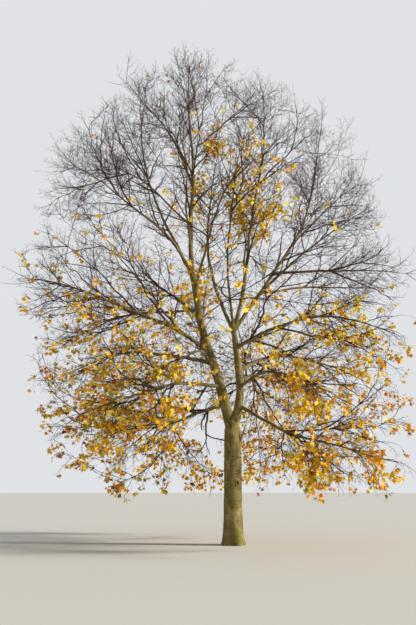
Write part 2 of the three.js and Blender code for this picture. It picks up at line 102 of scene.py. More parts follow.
# the same, then: share that is bough, longest shoot, lift of the twigs, share of leaf places filled
ARMS = [
    ("leader", "left_stem", 1.0, 150, 20, 90, 87, 7700, 78, 0.42, 2300, 0.35, 0),
    ("left_rise", "left_stem", 0.99, 213, 5, 52, 4, 5200, 56, 0.36, 2000, 0.2, 0),
    ("left_fan", "left_stem", 0.98, 130, 15, 57, 68, 8800, 60, 0.38, 1700, 0.3, 0),
    ("upper_left", "leader", 0.93, 150, 10, 70, 48, 5800, 42, 0.28, 1900, 0.3, 0),
    ("left_long", "left_stem", 0.48, 200, 3, 32, 0, 6100, 70, 0.38, 1800, 0.15, 0.3),
    ("left_mid", "left_stem", 0.41, 150, 5, 24, -22, 6300, 62, 0.38, 1700, -0.15, 0.38),
    ("left_low", "left_stem", 0.27, 222, 8, -2, -30, 5500, 58, 0.34, 1700, -0.3, 0.5),
    ("left_drop", "left_stem", 0.16, 142, 0, -12, 2, 6200, 56, 0.34, 1700, -0.3, 0.5),
    ("left_level", "left_stem", 0.76, 158, -5, 8, -18, 5000, 48, 0.34, 1700, 0.1, 0.3),
    ("inner_left", "right_stem", 1.0, 142, -110, 60, 76, 9200, 62, 0.4, 1900, 0.3, 0),
    ("middle", "right_stem", 1.0, 255, 40, 62, 54, 5900, 46, 0.36, 1600, 0.2, 0.3),
    ("right_leader", "right_stem", 1.0, 0, 40, 77, 86, 8700, 70, 0.4, 2200, 0.3, 0),
    ("right_rise", "right_stem", 1.0, 8, 40, 50, 80, 9100, 66, 0.38, 2200, 0.3, 0),
    ("right_fan", "right_rise", 0.42, 323, -6, 36, 14, 4300, 48, 0.36, 1700, 0.2, 0),
    ("right_level", "right_rise", 0.45, 25, 2, 14, 4, 5500, 44, 0.34, 1700, 0.15, 0.3),
    ("right_long", "right_rise", 0.68, 336, 0, -2, -14, 4400, 42, 0.34, 1600, 0.2, 0.3),
    ("right_bough", "right_stem", 0.83, 333, -18, 30, -36, 5200, 62, 0.34, 1700, -0.15, 0.55),
    ("right_arch", "right_stem", 0.6, 45, -22, 28, -32, 6900, 66, 0.34, 1800, -0.25, 0.55),
    ("right_low", "right_stem", 0.27, 318, 3, -28, -10, 5200, 54, 0.34, 1700, -0.3, 0.55),
    ("front_low", "left_stem", 0.36, 260, -10, 14, -36, 5000, 52, 0.34, 1800, -0.3, 0.5),
    ("front_right", "right_stem", 0.45, 290, 0, 12, -34, 5200, 50, 0.34, 1800, -0.3, 0.5),
    ("back_low", "right_stem", 0.5, 78, 0, 26, -24, 5800, 56, 0.34, 1900, -0.25, 0.5),
    ("back_mid", "left_stem", 0.68, 116, -10, 40, 6, 5800, 50, 0.34, 1900, 0.05, 0.3),
    ("back_high", "right_leader", 0.5, 84, 10, 54, 38, 5600, 40, 0.34, 1800, 0.3, 0),
    ("front_high", "leader", 0.3, 268, 0, 36, 14, 4900, 40, 0.32, 1600, 0.25, 0),
    ("front_mid", "left_stem", 0.88, 280, 10, 38, 2, 5500, 48, 0.34, 1700, 0.1, 0.3),
    ("right_top", "right_rise", 0.92, 350, -10, 54, 30, 3500, 34, 0.32, 1600, 0.3, 0),
    ("leader_left", "leader", 0.5, 194, 0, 46, 22, 4000, 38, 0.32, 1700, 0.25, 0),
]
print(len(STEMS), "stems and", len(ARMS), "arms")

# %% Directions, and the line of a limb
UP = np.array([0.0, 0.0, 1.0])
WALK_STEPS = 16
SWAY_DEGREES = 5
SWAYS_IN_A_LIMB = 1.6
SWAY_SHIFT = 0.37
RING_EVERY_MM = 500


def heading(azimuth, rise):
    """The direction of one unit step, from its two angles in degrees."""
    a, r = math.radians(azimuth), math.radians(rise)
    return np.array([math.cos(r) * math.cos(a), math.cos(r) * math.sin(a), math.sin(r)])


def mix(a, b, t):
    """The number that lies a share t of the way from a to b."""
    return a + (b - a) * t


def walk(start, azimuth, turn, rise, end_rise, length, phase):
    """A line that turns and rises evenly, with a slight sway to and fro."""
    line = [np.array(start, float)]
    for i in range(WALK_STEPS):
        t = (i + 0.5) / WALK_STEPS
        sway = SWAY_DEGREES * math.sin(2 * math.pi * (SWAYS_IN_A_LIMB * t + phase))
        step = heading(azimuth + turn * t + sway, mix(rise, end_rise, t) + 0.8 * sway)
        line.append(line[-1] + step * length / WALK_STEPS)
    return np.array(line)


def along(line, fraction):
    """The point a fraction of the way along a line."""
    last = len(line) - 1
    k = min(int(fraction * last), last - 1)
    return line[k] + (line[k + 1] - line[k]) * (fraction * last - k)


def direction_at(line, fraction):
    """The line's direction there."""
    last = len(line) - 1
    k = min(int(fraction * last), last - 1)
    span = line[k + 1] - line[k]
    return span / np.linalg.norm(span)


# %% Walk every limb, parents before children
lines = {"trunk": np.array([[0, 0, 0], [TRUNK_LEAN, 0, TRUNK_HEIGHT]], float)}
bare_share = {"trunk": 1.0}
limbs = {}
for index, row in enumerate([*STEMS, *ARMS]):
    name, parent, at, azimuth, turn, rise, end_rise, length, radius = row[:9]
    bare = row[9] if len(row) > 9 else 1.0
    start = along(lines[parent], at * bare_share[parent])
    lines[name] = walk(start, azimuth, turn, rise, end_rise, length * MM, SWAY_SHIFT * index)
    bare_share[name] = bare
    is_stem = len(row) == 9
    rings = 8 if is_stem else max(4, round(bare * length / RING_EVERY_MM))
    limbs[name] = {
        "parent": parent,
        "radius": radius * MM,
        "tip": radius * MM * (STEM_TIP_SHARE if is_stem else TIP_SHARE),
        "length": length * MM,
        "points": np.array([along(lines[name], bare * k / rings) for k in range(rings + 1)]),
    }
print("highest tip", round(max(line[-1][2] for line in lines.values()), 2), "m")

# %% [markdown]
# ## One way to make a round limb
# A real limb is round, tapers, and bends without twisting. A curve with a bevel would give that too,
# but a ring that is extruded step by step can have any radius at each step. It also carries the
# straightened place of each corner in an attribute, so the bark's grain follows the limb round every
# bend, and the limb's thickness in another, so that thin wood can have younger bark.

# %% Smooth a line and measure along it


def span_lengths(line):
    """The length of each straight piece of a line."""
    return np.linalg.norm(np.diff(line, axis=0), axis=1)


def distance_along(line):
    """How far along the line each of its points lies."""
    return np.concatenate([[0], np.cumsum(span_lengths(line))])


def smooth_line(line, spacing):
    """Catmull-Rom points through a line, evenly spaced."""
    padded = np.vstack([2 * line[0] - line[1], line, 2 * line[-1] - line[-2]])
    count = max(3, round(span_lengths(line).sum() / spacing))
    spots = np.linspace(0, len(line) - 1, count + 1)
    k = np.minimum(spots.astype(int), len(line) - 2)
    t = (spots - k)[:, None]
    a, b, c, d = padded[k], padded[k + 1], padded[k + 2], padded[k + 3]
    return 0.5 * (
        2 * b + (c - a) * t + (2 * a - 5 * b + 4 * c - d) * t**2 + (3 * b - a - 3 * c + d) * t**3
    )


print("the leader's line is", round(span_lengths(lines["leader"]).sum(), 2), "m long")

# %% Rings along a line, and the tube that is extruded through them


def ring_matrices(points, radii):
    """A matrix for each ring: it turns, scales and moves a unit circle to its place."""
    matrices = []
    side = None
    for k, point in enumerate(points):
        ahead = points[min(k + 1, len(points) - 1)] - points[max(k - 1, 0)]
        ahead = Vector(ahead).normalized()
        if side is None:
            side = Vector((1, 0, 0)) if abs(ahead.z) > 0.9 else Vector(UP).cross(ahead)
        side = (side - ahead * side.dot(ahead)).normalized()
        across = ahead.cross(side)
        turned = Matrix((side, across, ahead)).transposed().to_4x4()
        matrices.append(Matrix.Translation(point) @ turned @ Matrix.Scale(radii[k], 4))
    return matrices


def grow_tube(bm, points, radii, sides, offset=0.0):
    """A closed tube: a capped circle, extruded ring by ring, with a cap on its end."""
    grain = bm.verts.layers.float_vector["grain"]
    girth = bm.verts.layers.float["girth"]
    matrices = ring_matrices(points, radii)
    reach = distance_along(points)
    made = bmesh.ops.create_circle(
        bm, cap_ends=True, radius=1.0, segments=sides, matrix=matrices[0]
    )["verts"]
    everything = list(made)
    edges = list(dict.fromkeys(edge for vert in made for edge in vert.link_edges))
    for k, matrix in enumerate(matrices):
        if k:
            step = bmesh.ops.extrude_edge_only(bm, edges=edges)["geom"]
            made = [g for g in step if isinstance(g, bmesh.types.BMVert)]
            ring = set(made)
            edges = [
                g for g in step if isinstance(g, bmesh.types.BMEdge) and ring.issuperset(g.verts)
            ]
            change = matrix @ matrices[k - 1].inverted()
            bmesh.ops.transform(bm, matrix=change, verts=made)
            everything += made
        back = matrix.inverted()
        for vert in made:
            flat = back @ vert.co
            vert[grain] = (flat.x * radii[k], flat.y * radii[k], reach[k] + offset)
            vert[girth] = radii[k]
    bmesh.ops.contextual_create(bm, geom=edges)
    return everything


# %% Start a mesh of tubes, and add a tube to it


def new_tube_mesh():
    """An empty mesh with room for each corner's grain and girth."""
    bm = bmesh.new()
    bm.verts.layers.float_vector.new("grain")
    bm.verts.layers.float.new("girth")
    return bm


def face_place(face, count):
    """A number that sorts faces by their first corner and then by their last."""
    numbers = [vert.index for vert in face.verts]
    return min(numbers) * count + max(numbers)


def add_tube(whole, points, radii, sides, offset=0.0):
    """Grow one tube by itself, which is quick, and then add it to the whole."""
    single = new_tube_mesh()
    grow_tube(single, points, radii, sides, offset)
    # the extrusions come out in another order in each run, so the faces are put in line
    single.verts.index_update()
    count = len(single.verts)
    single.faces.sort(key=lambda face: face_place(face, count))
    carrier = bpy.data.meshes.new("carrier")
    single.to_mesh(carrier)
    single.free()
    whole.from_mesh(carrier)
    bpy.data.meshes.remove(carrier)


# %% Shape a mesh and finish it as a piece


def push_out(bm, how_far):
    """Move each corner along its normal, by what the function says for it where it stands now."""
    bm.normal_update()
    moves = [(vert, vert.normal * how_far(vert)) for vert in bm.verts]
    for vert, move in moves:
        vert.co += move


def put_in_scene(name, data):
    """A new object at the world's origin, for a mesh, a light or a camera."""
    made = bpy.data.objects.new(name, data)
    bpy.context.scene.collection.objects.link(made)
    return made


def finish_mesh(bm, name):
    """The bmesh as a smooth-shaded piece."""
    bmesh.ops.recalc_face_normals(bm, faces=bm.faces)
    mesh = bpy.data.meshes.new(name)
    bm.to_mesh(mesh)
    bm.free()
    mesh.shade_smooth()
    piece = put_in_scene(name, mesh)
    mesh.calc_loop_triangles()
    print(name, len(mesh.loop_triangles), "triangles")
    return piece


# %% [markdown]
# ## Trunk, stems and the feet of the boughs
# On the tree these are one skin: the wood swells where a bough leaves a stem, and there is no seam.
# Tubes that only cross would show a hard line, and joining them ring to ring by hand is slow. So the
# trunk, both stems and the first half metre of each bough that leaves a stem are grown as tubes and
# melted into one skin by a voxel remesh.

# %% The trunk's root flare
FLARE_RADIUS = 0.085
FLARE_HEIGHT = 0.3
ROOT_LOBES = 5
LOBE_SHARE = 0.35
LOBE_TURN = 0.6
# the trunk narrows under the fork, over the last tenth of its height
SHOULDER_START = 0.9
SHOULDER_LOSS = 0.26
TRUNK_SIDES = 64
TRUNK_RINGS = 30
BELOW_CUT = 0.06


def grow_trunk(bm):
    """The trunk's tube, with its foot spread out over the roots."""
    heights = np.linspace(-BELOW_CUT, TRUNK_HEIGHT, TRUNK_RINGS)
    shares = heights / TRUNK_HEIGHT
    points = np.stack([TRUNK_LEAN * shares, 0 * shares, heights], 1)
    radii = mix(TRUNK_FOOT_RADIUS, TRUNK_TOP_RADIUS, shares)
    shoulder = np.clip((shares - SHOULDER_START) / 0.1, 0, 1)
    radii *= 1 - SHOULDER_LOSS * shoulder**2
    for vert in grow_tube(bm, points, radii, TRUNK_SIDES):
        centre_x = TRUNK_LEAN * vert.co.z / TRUNK_HEIGHT
        angle = math.atan2(-vert.co.y, vert.co.x - centre_x)
        lobe = 1 + LOBE_SHARE * math.cos(ROOT_LOBES * angle + LOBE_TURN)
        flare = FLARE_RADIUS * math.exp(-max(vert.co.z, 0) / FLARE_HEIGHT) * lobe
        vert.co.x += flare * math.cos(angle)
        vert.co.y -= flare * math.sin(angle)


print("the foot spreads to about", round(2 * (TRUNK_FOOT_RADIUS + FLARE_RADIUS), 2), "m")

# %% Grow the tubes of the trunk, the stems and the boughs' feet
STEM_SIDES = 24
STEM_RING_SPACING = 0.06
STUB_LENGTH = 0.5
# a bough's foot is thicker than the bough at the stem and slips inside the bough's tube at its end
STUB_SWELLING, STUB_END = 1.3, 0.9


def arm_radii(limb, reach):
    """A limb's radii at distances from its root: it tapers evenly."""
    return mix(limb["radius"], limb["tip"], reach / limb["length"])


skin = new_tube_mesh()
grow_trunk(skin)
for name, limb in limbs.items():
    if limb["parent"] not in ("trunk", "left_stem", "right_stem"):
        continue
    line = smooth_line(lines[name], STEM_RING_SPACING)
    reach = distance_along(line)
    if limb["parent"] == "trunk":
        add_tube(skin, line, arm_radii(limb, reach), STEM_SIDES)
        continue
    line, reach = line[reach < STUB_LENGTH], reach[reach < STUB_LENGTH]
    narrowing = np.clip((reach - 0.08) / (STUB_LENGTH - 0.14), 0, 1) ** 0.6
    radii = arm_radii(limb, reach) * mix(STUB_SWELLING, STUB_END, narrowing)
    add_tube(skin, line, radii, STEM_SIDES)
print(len(skin.faces), "faces in the tubes")

# %% Add a short dead branch on the right of the trunk, under the fork
DEAD_BRANCH = np.array(
    [[0.1, -0.1, 2.62], [0.25, -0.14, 2.86], [0.33, -0.17, 3.1], [0.39, -0.2, 3.3]]
)
DEAD_RADII = (0.044, 0.02)
dead_line = smooth_line(DEAD_BRANCH, 0.04)
add_tube(skin, dead_line, np.linspace(*DEAD_RADII, len(dead_line)), 16)
print("the dead branch is", round(span_lengths(dead_line).sum(), 2), "m long")

# %% Melt them into one skin
VOXEL = 0.0155
rough_skin = finish_mesh(skin, "rough_skin")
melt = rough_skin.modifiers.new("melt", "REMESH")
melt.mode = "VOXEL"
melt.voxel_size = VOXEL
graph = bpy.context.evaluated_depsgraph_get()
melted = bpy.data.meshes.new_from_object(rough_skin.evaluated_get(graph))
bpy.data.objects.remove(rough_skin)
print("melted skin", len(melted.polygons), "faces")

# %% [markdown]
# ## The bark's relief
# A maple's bark is nearly smooth: broad swellings, shallow flutes and cracks along the stem, and fine
# wrinkles across it. An old knot with three creases above it marks this trunk. A picture could be
# bumped on instead, but its edge against the sky would stay straight. So the skin's own corners are
# moved, by noise that is stretched along the stem.

# %% The swellings, flutes, cracks and wrinkles
# how fast each changes across the limb and along it, and how far it stands out in metres
FLUTES = (11, 1.3, 0.007)
CRACKS = (26, 5.0, 0.007)
WRINKLES = (5, 26.0, 0.0025)
SWELLING_SCALE, SWELLING_DEPTH = 2.2, 0.012


def ripple(spot, across, along_it, depth):
    """Noise that is stretched along the limb."""
    return noise.noise(Vector((spot.x * across, spot.y * across, spot.z * along_it))) * depth


def bark_relief(spot):
    """How far the bark stands out at a place on the trunk or a stem: less on the young wood above."""
    thickness = max(0.25, min(1.0, 1.25 - spot.z / 7.0))
    broad = noise.noise(spot * SWELLING_SCALE) * SWELLING_DEPTH
    cracks = -abs(ripple(spot, *CRACKS))
    return (broad + ripple(spot, *FLUTES) + cracks + ripple(spot, *WRINKLES)) * thickness


# %% The knot and its creases
KNOT = Vector((0.135, -0.224, 1.66))
# heights above the knot of the creases in the bark, and how long each one is
CREASES = ((0.18, 0.06), (0.25, 0.1), (0.33, 0.08))
CREASE_SLANT = 0.35
CREASE_WIDTH = 0.015
CREASE_DEPTH = 0.02


def bell(x):
    """1 at nought, and soon 0 on both sides."""
    return math.exp(-(x**2))


def wound_at(spot):
    """1 in the knot's hollow and along the slanting creases above it, and 0 on sound bark."""
    away = spot - KNOT
    wound = bell(away.length / 0.05)
    for height, length in CREASES:
        beside = math.hypot(away.x, away.y)
        line = bell((away.z - height - CREASE_SLANT * away.x) / CREASE_WIDTH)
        wound = max(wound, 0.95 * line * math.exp(-((beside / length) ** 4)))
    return wound


def knot_relief(spot):
    """An old knot: a lip round a hollow, with the bark creased above it."""
    away = spot - KNOT
    flat = Vector((away.x * 1.15, away.y * 1.15, away.z * 0.8)).length
    lip = 0.024 * bell((flat - 0.062) / 0.02)
    hollow = -0.034 * bell(flat / 0.036)
    return lip + hollow - CREASE_DEPTH * wound_at(spot) * (away.z > 0.1)


# %% Smooth the skin, carve it and cut it flat at the ground
SMOOTHINGS = 4
bm = bmesh.new()
bm.from_mesh(melted)
bpy.data.meshes.remove(melted)
for _ in range(SMOOTHINGS):
    bmesh.ops.smooth_vert(
        bm, verts=bm.verts, factor=0.5, use_axis_x=True, use_axis_y=True, use_axis_z=True
    )
push_out(bm, lambda vert: bark_relief(vert.co) + knot_relief(vert.co))
cut = bmesh.ops.bisect_plane(
    bm,
    geom=[*bm.verts, *bm.edges, *bm.faces],
    plane_co=(0, 0, 0),
    plane_no=(0, 0, -1),
    clear_outer=True,
)["geom_cut"]
bmesh.ops.edgeloop_fill(bm, edges=[g for g in cut if isinstance(g, bmesh.types.BMEdge)])
print("the carved skin has", len(bm.verts), "corners")

# %% Note on each corner what the bark's material reads
grain = bm.verts.layers.float_vector.new("grain")
girth = bm.verts.layers.float.new("girth")
wound = bm.verts.layers.float.new("wound")
for vert in bm.verts:
    vert[grain] = vert.co
    vert[girth] = max(0.06, 0.26 - 0.02 * vert.co.z)
    vert[wound] = wound_at(vert.co)
trunk_skin = finish_mesh(bm, "trunk_and_stems")

# %% [markdown]
# ## Boughs
# Past its foot a bough is a long whip: thick and steady, then thinner and more crooked. Its CAD solid
# could be kept, but that is smooth and plain and ends where the mass begins. Each is one tube on its
# CAD line instead, carried on to the tip, because its mass of twigs grows on the same wood. Small
# lumps stand where old twigs were shed.

# %% Grow the boughs
BOUGH_SIDES = 12
RING_SPACING = 0.09
BOUGH_TIP = 0.0025
# how far a bough strays from its plain line, and over what length it starts to
STRAY, STRAY_START = 0.03, 0.8
# each bough's grain starts somewhere else, so that no two look alike
GRAIN_SHIFT = 3.1

# unless it is seeded, vector noise takes the clock's time and gives another crown in each run
WANDER_SEED = 4127
noise.seed_set(WANDER_SEED)

boughs = new_tube_mesh()
arm_curves = {}
for index, row in enumerate(ARMS):
    name = row[0]
    limb = limbs[name]
    line = smooth_line(lines[name], RING_SPACING)
    reach = distance_along(line)
    wander = [list(noise.noise_vector(Vector((s * 1.7, index * 7.3, 0)))) for s in reach]
    line = line + np.array(wander) * STRAY * np.clip(reach / STRAY_START, 0, 1)[:, None]
    radii = arm_radii(limb, reach)
    # where a bough leaves another bough, its foot swells, as the skin does on the stems
    if limb["parent"] not in ("left_stem", "right_stem"):
        swollen = 1.6 * limb["radius"] + 0.7 * limbs[limb["parent"]]["radius"]
        radii *= 1 + 0.5 * np.exp(-reach / swollen)
    radii[-1] = BOUGH_TIP
    arm_curves[name] = line
    add_tube(boughs, line, radii, BOUGH_SIDES, offset=index * GRAIN_SHIFT)
print(len(arm_curves), "boughs")

# %% Raise the lumps of old twig scars
LUMP_SCALE, LUMP_SHARE = 9, 0.16
BUMP_SCALE, BUMP_SHARE = 23, 0.1
girth = boughs.verts.layers.float["girth"]


def lumps(vert):
    """Old twig scars and unevenness, a share of the limb's own thickness."""
    broad = LUMP_SHARE * noise.noise(vert.co * LUMP_SCALE)
    fine = BUMP_SHARE * noise.noise(vert.co * BUMP_SCALE + Vector((3, 1, 4)))
    return vert[girth] * (broad + fine)


push_out(boughs, lumps)
bough_tubes = finish_mesh(boughs, "boughs")

# %% [markdown]
# ## The rule of the shoots
# A maple's buds sit in opposite pairs, and each pair is turned across the last, so its shoots do the
# same. The CAD model grows its masses by that rule with a seeded die. The rule is repeated here draw
# by draw, so the main shoots stand exactly where the solids have them. A shoot keeps to its own
# mass's space: it is cut shorter, or left out, where it would run into another limb.

# %% The stem of each mass
SEAT = 0.025
STEM_RINGS = 5
STEM_SHARE = 0.97
STEM_LEAST = 0.007

masses = []
for row in ARMS:
    name, length, radius, bare = row[0], row[7] * MM, row[8] * MM, row[9]
    spots = [mix(bare - SEAT / length, 1, k / STEM_RINGS) for k in range(STEM_RINGS + 1)]
    first, last = radius * mix(1, TIP_SHARE, bare) * STEM_SHARE, max(radius * TIP_SHARE, STEM_LEAST)
    masses.append(
        {
            "name": name,
            "points": np.array([along(lines[name], s) for s in spots]),
            "radii": (first, last),
            "spread": row[10] * MM,
            "lift": row[11],
            "leaf_share": row[12],
        }
    )
print(sum(mass["leaf_share"] > 0 for mass in masses), "leafy masses of", len(masses))

# %% Distances from many lines at once


def gather(polylines):
    """Starts and spans of all the straight pieces, and where each line's pieces begin."""
    starts = np.vstack([p[:-1] for p in polylines])
    spans = np.vstack([np.diff(p, axis=0) for p in polylines])
    first = np.cumsum([0] + [len(p) - 1 for p in polylines[:-1]])
    return starts, spans, first


def distances(spots, lines_of):
    """Distance from each spot to each line, as a table of spots by lines."""
    starts, spans, first = lines_of
    reach = spots[:, None] - starts
    part = np.clip((reach * spans).sum(2) / (spans * spans).sum(1), 0, 1)
    away = np.linalg.norm(reach - part[..., None] * spans, axis=2)
    return np.minimum.reduceat(away, first, axis=1)


def nearest_on(curve, spot):
    """The point of a curve that is nearest to a spot."""
    spans = np.diff(curve, axis=0)
    part = ((spot - curve[:-1]) * spans).sum(1) / (spans * spans).sum(1)
    spots = curve[:-1] + np.clip(part, 0, 1)[:, None] * spans
    return spots[np.linalg.norm(spots - spot, axis=1).argmin()]


# %% What counts as clear
LEAST_HEIGHT = 0.4
SPACE_MARGIN = 0.045
LIMB_MARGIN = 0.03
mass_lines = gather([m["points"] for m in masses])
limb_lines = gather([limb["points"] for limb in limbs.values()])
limb_reach = np.array([limb["radius"] for limb in limbs.values()]) + LIMB_MARGIN
limb_names = list(limbs)
trunk_line = gather([lines["trunk"]])
print(len(mass_lines[0]), "straight pieces in the masses' stems,", len(limb_lines[0]), "in the limbs")


def is_clear(spots, index):
    """Whether the spots are in this mass's own space, off the ground and clear of other limbs."""
    if spots[:, 2].min() < LEAST_HEIGHT:
        return False
    away = distances(spots, mass_lines)
    own = away[:, index] + SPACE_MARGIN
    away[:, index] = np.inf
    if (away < own[:, None]).any():
        return False
    near = distances(spots, limb_lines)
    near[:, limb_names.index(masses[index]["name"])] = np.inf
    if (near < limb_reach).any():
        return False
    return bool((distances(spots, trunk_line) > TRUNK_FOOT_RADIUS + LIMB_MARGIN).all())


# %% Set branches off from their parents, many at a time


def units(vectors):
    """The vectors, each made one long."""
    return vectors / np.linalg.norm(vectors, axis=-1, keepdims=True)


def branches(root, ahead, angle, roll, length, lift):
    """Each sets off at an angle to its parent and then bends up, or down where lift is below 0."""
    side = np.cross(UP, ahead)
    side[np.abs(ahead[:, 2]) > 0.9] = (1, 0, 0)
    side = units(side - ahead * (side * ahead).sum(1, keepdims=True))
    across = np.cross(side, ahead)
    roll, angle, half = roll[:, None], angle[:, None], length[:, None] / 2
    out = side * np.cos(roll) + across * np.sin(roll)
    set_off = ahead * np.cos(angle) + out * np.sin(angle)
    bent = units(set_off + UP * 2 * lift[:, None])
    middle = root + set_off * half
    return np.stack([root, middle, middle + bent * half], 1)


def one_branch(root, ahead, angle, roll, length, lift):
    """The same for one branch."""
    numbers = [np.array([x], float) for x in (angle, roll, length, lift)]
    return branches(root[None], ahead[None], *numbers)[0]


# the places along a branch where it is tested, and the shorter length that it is tried at
TEST_PLACES = (0.35, 0.6, 0.8, 1.0)
CUT_SHORT = 0.62


def tested(points):
    """The spots of a branch that have to be clear."""
    return np.array([along(points, t) for t in TEST_PLACES])


def fitted(root, ahead, angle, roll, length, index):
    """The branch in its mass's space, cut shorter if that frees it, or else nothing."""
    for share in (1, CUT_SHORT):
        points = one_branch(root, ahead, angle, roll, length * share, masses[index]["lift"])
        if is_clear(tested(points), index):
            return points
    return None


# %% A die that falls as the CAD model's does
DICE_SEED = 4100


def dice(seed):
    """A die whose rolls lie between 0 and 1 and come out the same in each run."""
    state = seed

    def roll():
        """The next number of a simple series that any language gives the same."""
        nonlocal state
        state = (state * 1664525 + 1013904223) % 2**32
        return state / 2**32

    return roll


print("the first roll for the leader's mass is", round(dice(DICE_SEED)(), 3))

# %% The twigs on a main shoot
# each main shoot and twig with its radius and mass, and what carries it
main_shoots, carried_by = [], []
TWIG_PLACES = (0.42, 0.72)
TWIG_LEAST = 0.52
TWIG_SHARE = 0.48
TWIG_ANGLE = 46
TWIG_RADIUS = 0.007
LEAF_PLACES = 6


def add_twigs(shoot, carrier, length, spin, roll, index):
    """The twigs on a main shoot. The die also rolls for the solids' leaves, which aren't used."""
    leafy = masses[index]["leaf_share"] > 0
    for k, place in enumerate(TWIG_PLACES):
        twig_length = length * TWIG_SHARE * (1.25 - place) * (0.8 + 0.4 * roll())
        if shoot is None or twig_length < TWIG_LEAST:
            continue
        root, ahead = along(shoot, place), direction_at(shoot, place)
        turn = spin * 2 * math.pi + k * 2.4
        twig = fitted(root, ahead, math.radians(TWIG_ANGLE), turn, twig_length, index)
        if twig is not None:
            main_shoots.append((twig, TWIG_RADIUS, index))
            carried_by.append(carrier)
            if leafy:
                roll(), roll(), roll()
    if shoot is not None and leafy:
        for _ in range(LEAF_PLACES):
            roll()


# %% Grow the main shoots in opposite pairs, draw by draw
for index, mass in enumerate(masses):
    roll = dice(DICE_SEED + index)
    nodes = 5 if mass["leaf_share"] > 0 else 6
    for node in range(nodes):
        t = mix(0.07, 0.97, (node + 0.25 + 0.5 * roll()) / nodes)
        turn = math.radians(90 * node + 50 * roll())
        for half in (0, math.pi):
            long, tilt, spin = roll(), roll(), roll()
            length = mass["spread"] * (1.15 - 0.62 * t) * (0.8 + 0.4 * long)
            angle = math.radians(mix(58, 34, t) + 16 * (tilt - 0.5))
            root, ahead = along(mass["points"], t), direction_at(mass["points"], t)
            shoot = fitted(root, ahead, angle, turn + half, length, index)
            carrier = ("shoot", len(main_shoots))
            if shoot is not None:
                radius = max(0.55 * mix(*mass["radii"], t), 0.009)
                main_shoots.append((shoot, radius, index))
                carried_by.append(("arm", index))
            add_twigs(shoot, carrier, length, spin, roll, index)
print(len(main_shoots), "main shoots, as in the solids")

# %% [markdown]
# ## The crown's dome and the rooms under it
# The tips of an open-grown tree reach for the light until the crown is one rounded dome, flatter
# below. The dome could be drawn by hand. Here it is a formula, a rounded form between an egg and a
# diamond that leans a little, because then any place can be asked how deep inside the crown it lies.
# The pairs of shoots leave empty rooms under it, and one long shoot after another is sent into the
# widest, by the same rule and with the same dice as in the solids.

# %% The dome, and how deep in the crown a place lies
DOME_HEART = np.array([-0.59, 0.15, 8.0])
DOME_REACH = np.array([6.05, 5.3, 7.9])
DOME_DROP = 13.5
DOME_LEAN = -0.076
DOME_POWER = 1.7
DOME_BULGE = 0.016


def depth_in_dome(spots):
    """0 at the crown's heart and 1 on the plain dome."""
    away = spots - DOME_HEART
    away[:, 0] -= DOME_LEAN * away[:, 2]
    high = np.where(away[:, 2] > 0, DOME_REACH[2], DOME_DROP)
    away = np.abs(away) / np.stack([0 * high + DOME_REACH[0], 0 * high + DOME_REACH[1], high], 1)
    return (away**DOME_POWER).sum(1) ** (1 / DOME_POWER)


def depth_in_crown(spots):
    """The same for a dome that bulges here and there, as a real crown does."""
    x, y, z = spots.T
    bulge = np.sin(1.3 * x + 0.9 * z) + np.sin(1.5 * y - 1.1 * z + 2)
    bulge = bulge + np.sin(2.1 * x - 1.2 * y + 1)
    return depth_in_dome(spots) * (1 + DOME_BULGE * bulge)


print("the dome is", 2 * DOME_REACH[0], "m wide and", DOME_HEART[2] + DOME_REACH[2], "m high")

# %% Rooms just under the dome and in the skirt below the boughs, but none in front of the fork
ROOM_COUNT = 2600
ROOM_FLOOR = 1.6
SKIRT_TOP = 3.4
LEAST_IN_SKIRT, LEAST_ABOVE, MOST = 0.56, 0.8, 0.96
FORK_SIDE, FORK_TOP = 1.1, 6.2


def before_fork(spots):
    """Whether a spot would hide the trunk and its fork from the front."""
    beside = np.abs(spots[:, 0]) < FORK_SIDE
    return (spots[:, 1] < 0) & beside & (spots[:, 2] < FORK_TOP)


roll = dice(DICE_SEED - 1)
draws = np.array([[roll(), roll(), roll()] for _ in range(ROOM_COUNT)])
spots = DOME_HEART + DOME_REACH * (2 * draws - 1)
spots[:, 2] = mix(ROOM_FLOOR, DOME_HEART[2] + DOME_REACH[2], draws[:, 2])
depth = depth_in_dome(spots)
least = np.where(spots[:, 2] < SKIRT_TOP, LEAST_IN_SKIRT, LEAST_ABOVE)
spots = spots[(depth > least) & (depth < MOST) & ~before_fork(spots)]
wood = [limb["points"] for limb in limbs.values()] + [m["points"] for m in masses]
room_left = distances(spots, gather(wood + [s[0] for s in main_shoots])).min(1)
print(len(spots), "rooms, the widest", round(room_left.max(), 2), "m from any wood")

# %% Send a long shoot into the widest room, over and over
LONG_SHOOTS = 27
LONG_SHOOT_LENGTHS = (0.9, 4.2)
LONG_SHOOT_TWIGS = 2.0
START_PLACES = 13
EASY_TURN = 38
SPRING = 0.08


def reach_room(spot, stem):
    """From the place on the stem where it turns off most naturally."""
    best = math.inf
    for k in range(START_PLACES):
        place = mix(0.035, 0.93, k / (START_PLACES - 1))
        root, ahead = along(stem, place), direction_at(stem, place)
        way = spot - root
        away = np.linalg.norm(way)
        turn = math.degrees(math.acos(way @ ahead / away))
        cost = away * (1 + ((turn - EASY_TURN) / EASY_TURN) ** 2)
        if cost < best:
            best, shoot = cost, [root, root + way / 2 + ahead * SPRING * away, spot]
    return np.array(shoot)


